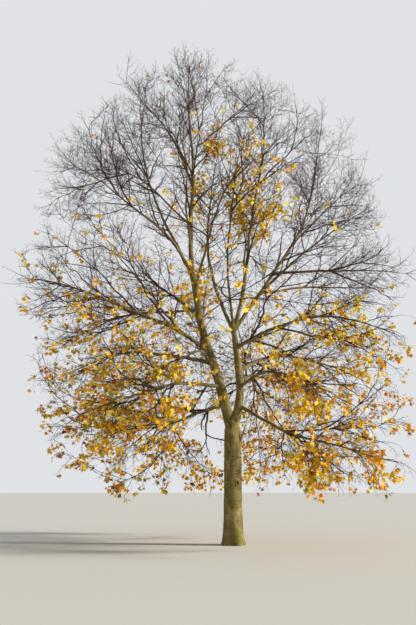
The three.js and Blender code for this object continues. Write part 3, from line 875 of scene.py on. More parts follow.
long_shoots = []
while len(long_shoots) < LONG_SHOOTS:
    chosen = room_left.argmax()
    room_left[chosen] = 0
    index = int(distances(spots[chosen][None], mass_lines).argmin())
    shoot = reach_room(spots[chosen], masses[index]["points"])
    length = np.linalg.norm(shoot[2] - shoot[0])
    shortest, longest = LONG_SHOOT_LENGTHS
    if not shortest < length < longest or not is_clear(tested(shoot), index):
        continue
    roll = dice(DICE_SEED + len(masses) + len(long_shoots))
    before = len(main_shoots)
    carrier = ("limb", len(long_shoots))
    add_twigs(shoot, carrier, LONG_SHOOT_TWIGS, roll(), roll, index)
    long_shoots.append((shoot, index))
    grown = gather([shoot] + [s[0] for s in main_shoots[before:]])
    room_left = np.minimum(room_left, distances(spots, grown).min(1))
print(len(long_shoots), "long shoots, as in the solids")

# %% [markdown]
# ## Filling the crown
# The solids carry only as many shoots as a plain model can. The tree has many more: young limbs
# between the old ones, side shoots all along them, opposite pairs of branchlets on the shoots, and at
# last the fine twigs. Copies of one twig would be lighter, but they would all look alike and wouldn't
# end at the dome. So each is drawn from seeded numbers, and its tip stays within the solids' reach.

# %% A smooth curve through each branch's three points
GROWTH_SEED = 4127
rng = np.random.default_rng(GROWTH_SEED)


def through(points, count, sway):
    """The curves, and their points wander by a small share of each one's length."""
    t = np.linspace(0, 1, count)[:, None]
    weights = np.hstack([2 * (t - 0.5) * (t - 1), -4 * t * (t - 1), 2 * t * (t - 0.5)])
    curves = np.einsum("kj,njx->nkx", weights, points)
    size = np.linalg.norm(points[:, 2] - points[:, 0], axis=1)[:, None, None]
    wander = rng.normal(0, sway, curves.shape) * size
    wander[:, 0] = 0
    return curves + wander


# %% How far a tip may reach
# past the solids' box in metres, above the ground, and past the dome as a share of its depth
REACH_MARGIN = 0.14
TIP_LEAST_HEIGHT = 1.15
PAST_DOME = 1.03


def in_reach(tips, limit):
    """Whether each tip stays under the dome, off the ground and within the solids' own box."""
    low, high = np.array(cad_low), np.array(cad_high)
    inside = (tips > low - REACH_MARGIN) & (tips < high + REACH_MARGIN)
    return inside.all(1) & (tips[:, 2] > TIP_LEAST_HEIGHT) & (depth_in_crown(tips) < limit)


# %% [markdown]
# ## Young limbs
# Between its old boughs a maple has younger limbs, from under a metre to five metres long, that grew
# where there was light. They could be put in one by one, but there are hundreds. So the crown is
# filled with test places, and the place that is farthest from any wood gets the next limb. It leaves
# the old wood at an easy angle and never heads inward. Then the widest room is looked for again.

# %% The rooms that a young limb may grow into
YOUNG_ROOMS = 12000
YOUNG_LEAST, YOUNG_MOST = 0.4, 0.97
rooms = rng.uniform(cad_low, cad_high, (YOUNG_ROOMS, 3))
from_trunk = np.linalg.norm(rooms[:, :2], axis=1)
# outside a cone that stays open round the trunk, and to its left and right where it is low
outside = (from_trunk > 5.8 - rooms[:, 2]) & (rooms[:, 2] > 2.4)
outside &= (np.abs(rooms[:, 0]) > 1.8) | (rooms[:, 2] > 3.8)
# and the low rooms around the trunk, into which old limbs hang down
hanging = (from_trunk > 0.9) & (from_trunk < 3.6) & (np.abs(rooms[:, 2] - 2.6) < 0.9)
hanging &= (rooms[:, 1] > -1.5) & (rooms[:, 1] < 2.5)
depth = depth_in_crown(rooms)
rooms = rooms[
    (depth > YOUNG_LEAST) & (depth < YOUNG_MOST) & (outside | hanging) & ~before_fork(rooms)
]
print(len(rooms), "rooms for young limbs")

# %% Where a young limb can start
# each place on a limb: where it is, which way the limb heads, how thick it is, whose arm it is
bearer_at, bearer_ahead, bearer_radius, bearer_arm = [], [], [], []


def add_bearer(curve, radii, arm, first):
    """Let a limb bear others, from one of its points onward."""
    steps = units(np.gradient(curve, axis=0))
    bearer_at.append(curve[first:])
    bearer_ahead.append(steps[first:])
    bearer_radius.append(radii[first:])
    bearer_arm.append(np.full(len(curve) - first, arm))


for index, row in enumerate(ARMS):
    curve, radius = arm_curves[row[0]], row[8] * MM
    add_bearer(curve, np.linspace(radius, radius * TIP_SHARE, len(curve)), index, len(curve) // 9)
room_left = np.full(len(rooms), np.inf)
for curve in bearer_at:
    away = np.linalg.norm(rooms[:, None] - curve[None, ::2], axis=2).min(1)
    room_left = np.minimum(room_left, away)
print(sum(len(at) for at in bearer_at), "places to start from")

# %% The long shoots of the solids come first, seated on the drawn boughs
YOUNG_STEPS = 13
YOUNG_TIP_SHARE = 0.25
YOUNG_SWAY = 0.008
YOUNG_RADIUS = 0.007
young_limbs = []


def add_young_limb(limb, thick, arm):
    """A young limb through three points, which can bear others and leaves less room."""
    curve = through(limb[None], YOUNG_STEPS, YOUNG_SWAY)[0]
    young_limbs.append((curve, thick, arm))
    add_bearer(curve, np.linspace(thick, YOUNG_TIP_SHARE * thick, YOUNG_STEPS), arm, 3)
    near = np.linalg.norm(rooms[:, None] - curve[None], axis=2).min(1)
    np.minimum(room_left, near, out=room_left)


for shoot, arm in long_shoots:
    root = nearest_on(arm_curves[ARMS[arm][0]], shoot[0])
    away = np.linalg.norm(shoot[2] - root)
    add_young_limb(np.array([root, *shoot[1:]]), YOUNG_RADIUS + 0.0056 * away, arm)
print(len(young_limbs), "young limbs from the long shoots")

# %% The best start for a limb into a room
BEST_TURN, TURN_SPREAD = 32, 30
SHORTEST, LONGEST = 0.7, 5
LOW, MIDDLE = 3.6, 6
SHARPEST_TURN, SHARPEST_LOW = 78, 105


def best_start(target):
    """The place on the wood to start from, its distance and its way ahead, or nothing."""
    at, ahead = np.vstack(bearer_at), np.vstack(bearer_ahead)
    way = target - at
    away = np.linalg.norm(way, axis=1)
    turn = np.degrees(np.arccos(np.clip((way * ahead).sum(1) / away, -1, 1)))
    # a limb that would drop steeply costs more, and none heads inward
    steep = np.clip(-way[:, 2] / away - 0.5, 0, 1)
    cost = away * (1 + ((turn - BEST_TURN) / TURN_SPREAD) ** 2 + 4 * steep)
    inward = depth_in_crown(at) > depth_in_crown(target[None])[0]
    back = np.linalg.norm(at[:, :2], axis=1) > np.linalg.norm(target[:2]) + 0.3
    cost[(away < SHORTEST) | inward | (back & (LOW < target[2] < MIDDLE))] = np.inf
    root = cost.argmin()
    sharpest = SHARPEST_LOW if target[2] < LOW else SHARPEST_TURN
    if turn[root] > sharpest or away[root] > LONGEST or not np.isfinite(cost[root]):
        return None
    return root, at[root], ahead[root], away[root]


# %% Send a young limb into the widest room that is left, over and over
LIMB_ROOM = 0.74
MOST_YOUNG_LIMBS = 420
while room_left.max() > LIMB_ROOM and len(young_limbs) < MOST_YOUNG_LIMBS:
    chosen = room_left.argmax()
    target = rooms[chosen]
    room_left[chosen] = 0
    start = best_start(target)
    if start is None:
        continue
    root, at, ahead, away = start
    bow = ahead * 0.13 - UP * 0.05 + rng.normal(0, 0.02, 3)
    limb = np.array([at, (at + target) / 2 + bow * away, target])
    arm = np.concatenate(bearer_arm)[root]
    bearer = np.concatenate(bearer_radius)[root]
    thick = min(max(0.68 * bearer, YOUNG_RADIUS + 0.009 * away), 0.9 * bearer + 0.004)
    add_young_limb(limb, thick, arm)
young_curves = np.array([limb[0] for limb in young_limbs])
young_radius = np.array([limb[1] for limb in young_limbs])
arm_lines = gather([lines[row[0]] for row in ARMS])
print(len(young_limbs), "young limbs, widest room left", round(room_left.max(), 2), "m")

# %% [markdown]
# ## Side shoots
# Along every limb sit side shoots in opposite pairs, each pair turned across the last. Near the dome,
# in the light, nearly every bud has grown, and in the shaded heart few have. A hair system could
# spread them, but it knows nothing of pairs, shade or the dome. So each bud is tried in turn, and its
# shoot is cut shorter where it would grow out of the crown or through another limb.

# %% Where buds grow
# the sheltered places inside the crown where the last leaves hang: centre, reach and share
LATE_PLACES = (
    ((0.25, 0.0, 10.7), (0.75, 1.9, 0.8), 1.1),
    ((0.85, 0.0, 9.8), (0.85, 1.9, 0.9), 1.5),
    ((-0.55, 0.0, 11.9), (0.5, 1.5, 0.6), 1.4),
    ((-0.9, 0.0, 10.8), (0.55, 1.5, 0.8), 1.7),
    ((-0.8, 0.0, 9.6), (0.7, 1.5, 0.8), 1.7),
    ((-2.2, 0.0, 9.3), (0.7, 1.2, 0.6), 0.5),
    ((-1.2, -0.2, 7.6), (0.75, 1.5, 0.85), 2.0),
    ((-0.6, -0.2, 6.1), (0.4, 1.2, 0.6), 0.6),
    ((-0.2, -0.2, 5.3), (0.8, 1.2, 0.6), 0.15),
)


def late_leaves(spots):
    """How many leaves hang on: most in the midst of a sheltered place, none away from all."""
    each = [s * np.exp(-(((spots - c) / np.array(r)) ** 2).sum(1)) for c, r, s in LATE_PLACES]
    return np.max(each, axis=0)


# leafy masses bear from deeper in the crown than bare ones
LEAFY_SHIFT, BARE_SHIFT = -0.14, 0.1
LIGHT_BELT = 0.42
LEAST_BEARING = 0.1
LATE_BEARING = 0.75


def bearing(spots, leaf_share, begin):
    """The share of buds that grow: few in the shaded heart of the crown, all near its dome."""
    begin = begin + np.where(np.asarray(leaf_share) > 0, LEAFY_SHIFT, BARE_SHIFT)
    near_dome = np.clip((depth_in_crown(spots) - begin) / LIGHT_BELT, LEAST_BEARING, 1)
    return np.maximum(near_dome, LATE_BEARING * late_leaves(spots))


# %% What bears side shoots: the boughs and the young limbs
# the curve, its radius at both ends, its mass, and the share of it that is bare
BARE_OF_BOUGH, BARE_OF_YOUNG = 0.3, 0.14
bearers = []
for index, row in enumerate(ARMS):
    radius = row[8] * MM
    bearers.append((arm_curves[row[0]], radius, radius * TIP_SHARE, index, BARE_OF_BOUGH))
for curve, (_, radius, index) in zip(young_curves, young_limbs):
    bearers.append((curve, radius, 0.005, index, BARE_OF_YOUNG))
print("bearers up to", round(max(span_lengths(b[0]).sum() for b in bearers), 1), "m long")

# %% Try a bud's shoot at full length, and then shorter
TRIED_LENGTHS = (1, 0.6, 0.36)
ARM_MARGIN = 0.12
CORE_REACH = 2.2
crown_core = gather([m["points"] for m in masses] + [s[0] for s in main_shoots])


def side_shoot(root, ahead, angle, turn, length, index):
    """The longest shoot that stays in the crown, near its wood and clear of the other arms."""
    lift = 0.65 * masses[index]["lift"]
    limit = max(PAST_DOME, 0.03 + depth_in_crown(root[None])[0])
    for share in TRIED_LENGTHS:
        shoot = one_branch(root, ahead, angle, turn, length * share, lift)
        tests = tested(shoot)
        away = distances(tests, arm_lines)
        away[:, index] = np.inf
        near_core = distances(tests[-1:], crown_core).min()
        if in_reach(tests, limit).all() and away.min() > ARM_MARGIN and near_core < CORE_REACH:
            return shoot
    return None


# %% Grow the side shoots in opposite pairs
BUD_SPACING_BARE, BUD_SPACING_LEAFY = 0.34, 0.46
side_shoots = []
for curve, thick, thin, index, first in bearers:
    size = span_lengths(curve).sum()
    mass = masses[index]
    spacing = BUD_SPACING_BARE if mass["leaf_share"] == 0 else BUD_SPACING_LEAFY
    count = max(2, int(size * (1 - first) / spacing))
    for node in range(count):
        s = mix(first, 0.99, (node + rng.random()) / count)
        turn = math.radians(90 * node + rng.uniform(-30, 30))
        root, ahead = along(curve, s), direction_at(curve, s)
        chance = bearing(root[None], mass["leaf_share"], 0.2)[0]
        for half in (0, math.pi):
            grow, draw, tilt = rng.random(3)
            if grow > 0.9 * chance:
                continue
            longest = min(mass["spread"] * 0.9, 0.5 * size)
            wanted = longest * mix(1.05, 0.5, s) * (0.6 + 0.6 * draw)
            angle = math.radians(mix(50, 28, s) + 18 * (tilt - 0.5))
            shoot = side_shoot(root, ahead, angle, turn + half, wanted, index)
            if shoot is not None:
                radius = min(max(0.45 * mix(thick, thin, s), 0.0075), 0.016)
                side_shoots.append((shoot, radius, index))
print(len(side_shoots), "shoots on", len(bearers), "bearers")

# %% Add short shoots straight from the stems
# the stem, the arm whose habit they share, and how many
STEM_SHOOTS = (("left_stem", "left_level", 26), ("right_stem", "right_bough", 20))
STEM_SHOOT_RADIUS = 0.009
for stem, kin, count in STEM_SHOOTS:
    index = limb_names.index(kin) - len(STEMS)
    for number in range(count):
        s, angle = rng.uniform(0.1, 0.98), math.radians(rng.uniform(48, 72))
        root, ahead = along(lines[stem], s), direction_at(lines[stem], s)
        shoot = one_branch(root, ahead, angle, 2.4 * number, rng.uniform(0.5, 1.15), 0.15)
        side_shoots.append((shoot, STEM_SHOOT_RADIUS, index))
print(len(side_shoots), "side shoots")

# %% [markdown]
# ## From lines to wood
# A shoot or a twig is a slender rod that ends in a point. It could be extruded like a bough, or be a
# curve with a bevel, but there are nearly eighty thousand. So all the rods of one kind are worked out
# together as arrays: rings of a few corners along each line, and the same triangles for each rod.

# %% Corners and triangles of many rods at once


def rods(curves, radii, sides):
    """Corners and triangles of pointed rods along the curves, closed at root and tip."""
    # each rod has a ring of corners at every point but the last, and one corner at its tip
    many, count = curves.shape[:2]
    ahead = units(np.gradient(curves, axis=1))
    side = np.cross(UP, ahead[:, 0])
    side[np.abs(ahead[:, 0, 2]) > 0.9] = (1, 0, 0)
    turn = 2 * np.pi * np.arange(sides) / sides
    rings = []
    for k in range(count - 1):
        side = units(side - ahead[:, k] * (side * ahead[:, k]).sum(1, keepdims=True))
        across = np.cross(ahead[:, k], side)
        circle = side[:, None] * np.cos(turn)[:, None] + across[:, None] * np.sin(turn)[:, None]
        rings.append(curves[:, k, None] + circle * radii[:, k, None, None])
    corners = np.concatenate([*rings, curves[:, -1:]], 1)
    size = corners.shape[1]
    faces = []
    for k in range(count - 2):
        for i in range(sides):
            a, b = k * sides + i, k * sides + (i + 1) % sides
            faces += [(a, b, b + sides), (a, b + sides, a + sides)]
    for i in range(sides):
        faces.append(((count - 2) * sides + i, (count - 2) * sides + (i + 1) % sides, size - 1))
    faces += [(0, i + 1, i) for i in range(1, sides - 1)]
    triangles = np.array(faces)[None] + size * np.arange(many)[:, None, None]
    return corners.reshape(-1, 3), triangles.reshape(-1, 3)


def array_piece(name, corners, triangles):
    """A piece from arrays: its corners, and its triangles as rows of three corner numbers."""
    mesh = bpy.data.meshes.new(name)
    mesh.vertices.add(len(corners))
    mesh.vertices.foreach_set("co", corners.astype(np.float32).ravel())
    mesh.loops.add(triangles.size)
    mesh.loops.foreach_set("vertex_index", triangles.astype(np.int32).ravel())
    mesh.polygons.add(len(triangles))
    mesh.polygons.foreach_set("loop_start", np.arange(0, triangles.size, 3, dtype=np.int32))
    mesh.update(calc_edges=True)
    mesh.shade_smooth()
    print(name, len(triangles), "triangles")
    return put_in_scene(name, mesh)


def tapered(root_radius, tip_share, count):
    """The radii of many branches at each of their rings."""
    return root_radius[:, None] * mix(1, tip_share, np.linspace(0, 1, count))


# %% The young limbs
YOUNG_SIDES = 7
young_radii = tapered(young_radius, YOUNG_TIP_SHARE, YOUNG_STEPS)
young_piece = array_piece("young_limbs", *rods(young_curves, young_radii, YOUNG_SIDES))

# %% The shoots, each main one seated on the curve that carries it
SHOOT_STEPS, SHOOT_SIDES = 6, 4
SHOOT_TIP_SHARE = 0.35
SHOOT_SWAY = 0.012
shoots = main_shoots + side_shoots
shoot_points = np.array([s[0] for s in shoots])
shoot_radius = np.array([s[1] for s in shoots])
shoot_mass = np.array([s[2] for s in shoots])
shoot_length = np.linalg.norm(shoot_points[:, 2] - shoot_points[:, 0], axis=1)
shoot_curves = through(shoot_points, SHOOT_STEPS, SHOOT_SWAY)

# its root moves onto the carrier's curve, and its tip stays where it is
fade = np.linspace(1, 0, SHOOT_STEPS)[:, None]
carriers = {
    "arm": [arm_curves[row[0]] for row in ARMS],
    "shoot": shoot_curves,
    "limb": young_curves,
}
for number, (kind, which) in enumerate(carried_by):
    seat = nearest_on(carriers[kind][which], shoot_curves[number, 0])
    shoot_curves[number] += (seat - shoot_curves[number, 0]) * fade
shoot_radii = tapered(shoot_radius, SHOOT_TIP_SHARE, SHOOT_STEPS)
shoot_piece = array_piece("shoots", *rods(shoot_curves, shoot_radii, SHOOT_SIDES))

# %% Grow finer branches in opposite pairs along coarser ones
lift_of = np.array([m["lift"] for m in masses])
leaf_share = np.array([m["leaf_share"] for m in masses])


def pairs_along(curves, lengths, mass_of, begin, spacing, share, least, most):
    """Opposite pairs along each curve, every pair turned across the last, with their parents."""
    gaps = np.where(leaf_share[mass_of] > 0, spacing[1], spacing[0])
    count = np.maximum(1, np.round(lengths * 0.84 / gaps)).astype(int)
    parent = np.repeat(np.arange(len(curves)), 2 * count)
    order = np.concatenate([np.arange(2 * c) for c in count])
    pair, half = order // 2, order % 2
    t = mix(0.16, 1.0, (pair + rng.uniform(0.2, 0.8, len(parent))) / count[parent])
    span = t * (curves.shape[1] - 1)
    k = np.minimum(span.astype(int), curves.shape[1] - 2)
    a, b = curves[parent, k], curves[parent, k + 1]
    root, ahead = a + (b - a) * (span - k)[:, None], units(b - a)
    length = lengths[parent] * share * (1.15 - 0.7 * t) * rng.uniform(0.65, 1.3, len(parent))
    length = np.clip(length, least, most)
    angle = np.radians(rng.uniform(32, 56, len(parent)))
    roll = np.pi / 2 * pair + np.pi * half + rng.uniform(-0.5, 0.5, len(parent))
    lift = lift_of[mass_of[parent]] * 0.6 + rng.uniform(-0.12, 0.12, len(parent))
    made = branches(root, ahead, angle, roll, length, lift)
    chance = bearing(root, leaf_share[mass_of[parent]], begin)
    limit = np.maximum(PAST_DOME, depth_in_crown(root) + 0.03)
    kept = in_reach(made[:, 2], limit) & (rng.random(len(parent)) < chance)
    return made[kept], length[kept], parent[kept], t[kept]


# %% The branchlets on the shoots, and the twigs on the branchlets
# how deep in the crown they begin, bare and leafy spacing, share of the parent, least and most length
BRANCHLET_HABIT = (0.3, (0.17, 0.23), 0.5, 0.2, 0.95)
TWIG_HABIT = (0.38, (0.13, 0.15), 0.48, 0.1, 0.4)
BRANCHLET_STEPS = 4
THINNEST, THICKEST = 0.0038, 0.0066
branchlets, branchlet_length, parent, place = pairs_along(
    shoot_curves, shoot_length, shoot_mass, *BRANCHLET_HABIT
)
branchlet_mass = shoot_mass[parent]
at_place = shoot_radius[parent] * mix(1, SHOOT_TIP_SHARE, place)
branchlet_root = np.clip(0.7 * at_place, THINNEST, THICKEST)
branchlet_curves = through(branchlets, BRANCHLET_STEPS, SHOOT_SWAY)
print(len(branchlets), "branchlets")

twigs, twig_length, parent, _ = pairs_along(
    branchlet_curves, branchlet_length, branchlet_mass, *TWIG_HABIT
)
twig_mass = branchlet_mass[parent]
twig_root = 0.75 * branchlet_root[parent]
print(len(twigs), "twigs")

# %% Join them into pieces
PIECE_LIMIT = 190000


def in_parts(title, curves, radii, sides, faces):
    """Rods in several pieces of neighbouring masses, each under the triangle limit."""
    parts = 1 + len(curves) * faces // PIECE_LIMIT
    bounds = np.linspace(0, len(curves), parts + 1).astype(int)
    return [
        array_piece(f"{title}_{n + 1}", *rods(curves[a:b], radii[a:b], sides))
        for n, (a, b) in enumerate(zip(bounds[:-1], bounds[1:]))
    ]


branchlet_radii = tapered(branchlet_root, 0.5, BRANCHLET_STEPS)
twig_pieces = in_parts("branchlets", branchlet_curves, branchlet_radii, 3, 16)
twig_pieces += in_parts("twigs", twigs[:, [0, 2]], tapered(twig_root, 0.6, 2), 3, 4)

# %% [markdown]
# ## Leaves
# A maple's leaf is a flat blade with five pointed lobes on a long stalk. In late autumn the ones that
# are left hang in sprays of a few from the ends of the twigs, and a spray turns colour together. A
# picture on a card would be lighter, but it would need an image and look flat. So one outline of ten
# triangles and a stalk is copied by arrays, folded a little along its midrib and turned every way.

# %% The outline of one leaf
# along the midrib, across it: the blade is one long, and its stalk joins at the origin
LEAF_OUTLINE = np.array(
    [
        [0.0, 0.0],
        [-0.1, 0.34],
        [0.16, 0.36],
        [0.5, 0.56],
        [0.58, 0.2],
        [1.0, 0.0],
        [0.58, -0.2],
        [0.5, -0.56],
        [0.16, -0.36],
        [-0.1, -0.34],
    ]
)
LEAF_HEART = np.array([[0.3, 0.0]])
STALK_LENGTH = 0.62
STALK = np.array([[-STALK_LENGTH, 0.0], [0.02, 0.022], [0.02, -0.022]])
leaf_corners = np.vstack([LEAF_OUTLINE, LEAF_HEART, STALK])
heart = len(LEAF_OUTLINE)
blade_faces = [(heart, i, (i + 1) % heart) for i in range(heart)]
leaf_faces = np.array([*blade_faces, (heart + 1, heart + 3, heart + 2)])
print("one leaf:", len(leaf_faces), "triangles")

# %% Which tint a spray has turned, with painted light: lighter tints on the sunlit right
TINTS = ("golden", "lemon", "amber", "olive", "russet")


def spray_tints(spots):
    """The share of each tint by where a spray hangs; painted light gives the sunlit right more lemon
    and gold, the shaded left more olive and russet.
    """
    # painted light: the sun comes from the right, so the lemon and golden shares grow towards the
    # right and, for lemon, high up, while the olive and russet shares grow towards the shaded left
    right = np.clip(spots[:, 0] / 5 + 0.5, 0, 1)
    high = np.clip((spots[:, 2] - 3.5) / 3, 0, 1)
    inner = np.exp(-((np.linalg.norm(spots[:, :2], axis=1) / 1.6) ** 2))
    low_inner = inner * np.clip((8.5 - spots[:, 2]) / 3, 0, 1)
    shares = np.stack(
        [
            0.5 + 0.1 * right,
            0.16 + 0.9 * right * high + 0.1 * right,
            0.1 + 0.5 * low_inner - 0.08 * high,
            0.3 * (1 - right) * (1 - 0.85 * high) + 0.02,
            0.02 + 0.1 * low_inner + 0.05 * (1 - right),
        ],
        1,
    )
    return shares / shares.sum(1, keepdims=True)


# %% How many sprays are left
# the height at which the leaves begin to thin out, and over how many metres they do
THINS_FROM_LEFT, THINNING_LEFT = 6.2, 1.8
THINS_FROM_RIGHT, THINNING_RIGHT = 6.45, 0.9
# the share that still hangs above the thinning, and below it
LEFT_HIGH, RIGHT_HIGH = 0.16, 0.02
LEFT_LOW, RIGHT_LOW = 0.88, 0.53
UPPER_LEFT = 0.45
# what the heart of the crown, and the gap between two storeys of boughs on the right, have lost
INSIDE_LOSS, GAP_LOSS = 0.93, 0.8


def fullness(spots):
    """The share of the sprays that are left: most low down, few high up, inside or in the gap."""
    x, y, z = spots.T
    right = np.clip((x - 0.5) / 1.5, 0, 1)
    thins_from = mix(THINS_FROM_LEFT, THINS_FROM_RIGHT + 0.25 * y, right)
    high = np.clip((z - thins_from) / mix(THINNING_LEFT, THINNING_RIGHT, right), 0, 1)
    upper_left = np.clip((-x - 0.5) / 3, 0, 1) * np.clip((z - 4) / 2, 0, 1)
    inside = np.exp(-(((x + 0.3) / 1.4) ** 2)) * np.exp(-((y / 5.2) ** 6)) * (z > 3.6)
    gap = np.exp(-(((x - 2.7) / 1.5) ** 4)) * np.exp(-(((z - 5.45 - 0.2 * y) / 0.33) ** 2))
    share = mix(1, mix(LEFT_HIGH, RIGHT_HIGH, right), high)
    share = share * mix(LEFT_LOW, RIGHT_LOW, right) * mix(1, UPPER_LEFT, upper_left)
    return share * (1 - INSIDE_LOSS * inside) * (1 - GAP_LOSS * gap)


# %% Sprays come in clumps
CLUMP_FLATNESS = 2.2
CLUMP_STRENGTH = 3.2
LEAST_IN_CLUMPS, MOST_IN_CLUMPS = 0.06, 2.6


def clumps(spots):
    """How much fuller or thinner the leaves hang here: in clumps, flatter than they are wide."""
    stretched = spots * (1.0, 1.0, CLUMP_FLATNESS)
    waves = np.array([noise.noise(Vector(spot)) for spot in stretched])
    return np.clip(1 + CLUMP_STRENGTH * waves, LEAST_IN_CLUMPS, MOST_IN_CLUMPS)


# %% Choose the twigs that end in a spray
SPRAYS_PER_SHARE = 0.42
SPRAYS_IN_SHELTER = 0.42
STRAY_SPRAYS = 0.0008
ends = twigs[:, 2]
wanted = leaf_share[twig_mass] * SPRAYS_PER_SHARE * fullness(ends)
wanted += SPRAYS_IN_SHELTER * late_leaves(ends)
wanted = wanted * clumps(ends) + STRAY_SPRAYS
has_spray = rng.random(len(twigs)) < wanted
spray_end = twigs[has_spray, 2]
spray_way = units(twigs[has_spray, 2] - twigs[has_spray, 0])
chosen = spray_tints(spray_end).cumsum(1) > rng.random((len(spray_end), 1))
spray_tint = chosen.argmax(1)
print(len(spray_end), "sprays on", len(twigs), "twigs")

# %% Where each leaf of a spray hangs, and which way it points
# from 3 to 6 leaves, because the upper number itself is never drawn
LEAVES_IN_SPRAY = (3, 7)
SPRAY_DEPTH = 0.22
LEAF_SIZES = (0.07, 0.122)
leaves_in = rng.integers(*LEAVES_IN_SPRAY, len(spray_end))
leaf_spray = np.repeat(np.arange(len(spray_end)), leaves_in)
many = len(leaf_spray)
# a leaf points anyhow, but mostly on from its twig and down
outward = units(rng.normal(0, 1, (many, 3)) * 0.75 + spray_way[leaf_spray] * 0.6 - UP * 0.75)
back_most = np.minimum(0.85 * twig_length[has_spray], SPRAY_DEPTH)[leaf_spray, None]
back = rng.random((many, 1)) * back_most * spray_way[leaf_spray]
leaf_size = rng.uniform(*LEAF_SIZES, many)[:, None]
# the stalk's foot lies on the twig
leaf_base = spray_end[leaf_spray] - back + outward * leaf_size * STALK_LENGTH
face_up = units(rng.normal(0, 1, (many, 3)) * 0.7 + UP)
across = units(np.cross(face_up, outward))
normal = np.cross(outward, across)
print(many, "leaves")

# %% Fold each leaf along its midrib, curl its tip down and put it in its place
FOLDS, CURLS = (0.1, 0.5), (0.0, 0.4)
fold = rng.uniform(*FOLDS, many)[:, None]
curl = rng.uniform(*CURLS, many)[:, None]
x, y = leaf_corners[:, 0], leaf_corners[:, 1]
rise = np.abs(y) * fold - curl * np.clip(x, 0, None) ** 2 * 0.6
along_it, beside_it = x[:, None] * outward[:, None], y[:, None] * across[:, None]
corners = leaf_base[:, None] + leaf_size[:, None] * (
    along_it + beside_it + rise[..., None] * normal[:, None]
)
widths = 1000 * 2 * LEAF_OUTLINE[:, 1].max() * leaf_size
print("the blades are", round(widths.min()), "to", round(widths.max()), "mm across")

# %% Join the leaves of each tint into one piece
leaf_pieces = {}
for number, tint in enumerate(TINTS):
    mine = np.flatnonzero(spray_tint[leaf_spray] == number)
    triangles = leaf_faces[None] + len(leaf_corners) * np.arange(len(mine))[:, None, None]
    piece = array_piece(f"leaves_{tint}", corners[mine].reshape(-1, 3), triangles.reshape(-1, 3))
    # the outline lies flat in the UV map, so that the veins can follow it
    blade = piece.data.uv_layers.new(name="blade")
    spots = leaf_corners[triangles.reshape(-1) % len(leaf_corners)] + 0.5
    blade.data.foreach_set("uv", spots.astype(np.float32).ravel())
    leaf_pieces[tint] = piece

# %% [markdown]
# ## The finishes
# Two effects are shared by several materials. They could be built again in each, but then a change
# would have to be made in every one. So each is a node group that is built once. Bark grain gives the
# shallow cracks along a limb, cross scars, and patches of algae. Leaf marks give the veins and the
# brown blotches of a dying blade.

# %% Small helpers for nodes


def add_node(tree, kind, settings=None, **values):
    """A node with its settings, and numbers for the sockets named."""
    node = tree.nodes.new(kind)
    for key, value in (settings or {}).items():
        setattr(node, key, value)
    for key, value in values.items():
        node.inputs[key.replace("_", " ")].default_value = value
    return node


def new_group(name, inputs, outputs):
    """A node group that takes vectors and puts out masks, with its two end nodes."""
    group = bpy.data.node_groups.new(name, "ShaderNodeTree")
    for title in inputs:
        group.interface.new_socket(title, in_out="INPUT", socket_type="NodeSocketVector")
    for title in outputs:
        group.interface.new_socket(title, in_out="OUTPUT", socket_type="NodeSocketFloat")
    return group, group.nodes.new("NodeGroupInput"), group.nodes.new("NodeGroupOutput")


def put_out(group, out, masks):
    """Link each mask to the group's output of that name."""
    for title, mask in masks.items():
        group.links.new(mask, out.inputs[title])


# %% Helpers for masks and colours


def math_node(tree, operation, a, b=0):
    """One step of arithmetic on two sockets or numbers."""
    node = add_node(tree, "ShaderNodeMath", {"operation": operation})
    for socket, value in zip(node.inputs, (a, b)):
        if isinstance(value, (int, float)):
            socket.default_value = value
        else:
            tree.links.new(value, socket)
    return node.outputs[0]


def ramp(tree, value, low, high):
    """0 below low and 1 above high, smoothly."""
    node = add_node(tree, "ShaderNodeMapRange", {"interpolation_type": "SMOOTHSTEP"})
    tree.links.new(value, node.inputs["Value"])
    node.inputs["From Min"].default_value = low
    node.inputs["From Max"].default_value = high
    return node.outputs["Result"]


def stretched_noise(tree, vector, stretch, scale, detail):
    """Noise that is scaled by its own factor along each axis."""
    mapping = add_node(tree, "ShaderNodeMapping", Scale=stretch)
    tree.links.new(vector, mapping.inputs["Vector"])
    speckle = add_node(tree, "ShaderNodeTexNoise", Scale=scale, Detail=detail, Roughness=0.6)
    tree.links.new(mapping.outputs[0], speckle.inputs["Vector"])
    return speckle.outputs["Fac"]


def blend(tree, mask, first, second):
    """Two colours mixed by a mask."""
    node = add_node(tree, "ShaderNodeMix", {"data_type": "RGBA"})
    tree.links.new(mask, node.inputs[0])
    for socket, colour in ((node.inputs[6], first), (node.inputs[7], second)):
        if isinstance(colour, tuple):
            socket.default_value = (*colour, 1)
        else:
            tree.links.new(colour, socket)
    return node.outputs[2]


# %% The shared bark grain
bark_grain, bark_in, bark_out = new_group(
    "bark grain", ["Grain"], ["Cracks", "Scars", "Patches", "Algae", "Height"]
)
place = bark_in.outputs["Grain"]
fissure = stretched_noise(bark_grain, place, (1, 1, 0.3), 38, 6)
scar = stretched_noise(bark_grain, place, (0.22, 0.22, 1), 46, 3)
patch = stretched_noise(bark_grain, place, (1, 1, 0.5), 5, 4)
algae = stretched_noise(bark_grain, place, (1, 1, 0.6), 2.3, 3)
scars = ramp(bark_grain, scar, 0.57, 0.66)
sunk = math_node(bark_grain, "MULTIPLY", scars, 0.4)
bark_masks = {
    "Cracks": ramp(bark_grain, fissure, 0.44, 0.3),
    "Scars": scars,
    "Patches": ramp(bark_grain, patch, 0.44, 0.62),
    "Algae": ramp(bark_grain, algae, 0.46, 0.64),
    "Height": math_node(bark_grain, "SUBTRACT", fissure, sunk),
}
put_out(bark_grain, bark_out, bark_masks)
print(bark_grain.name, "puts out", ", ".join(bark_masks))

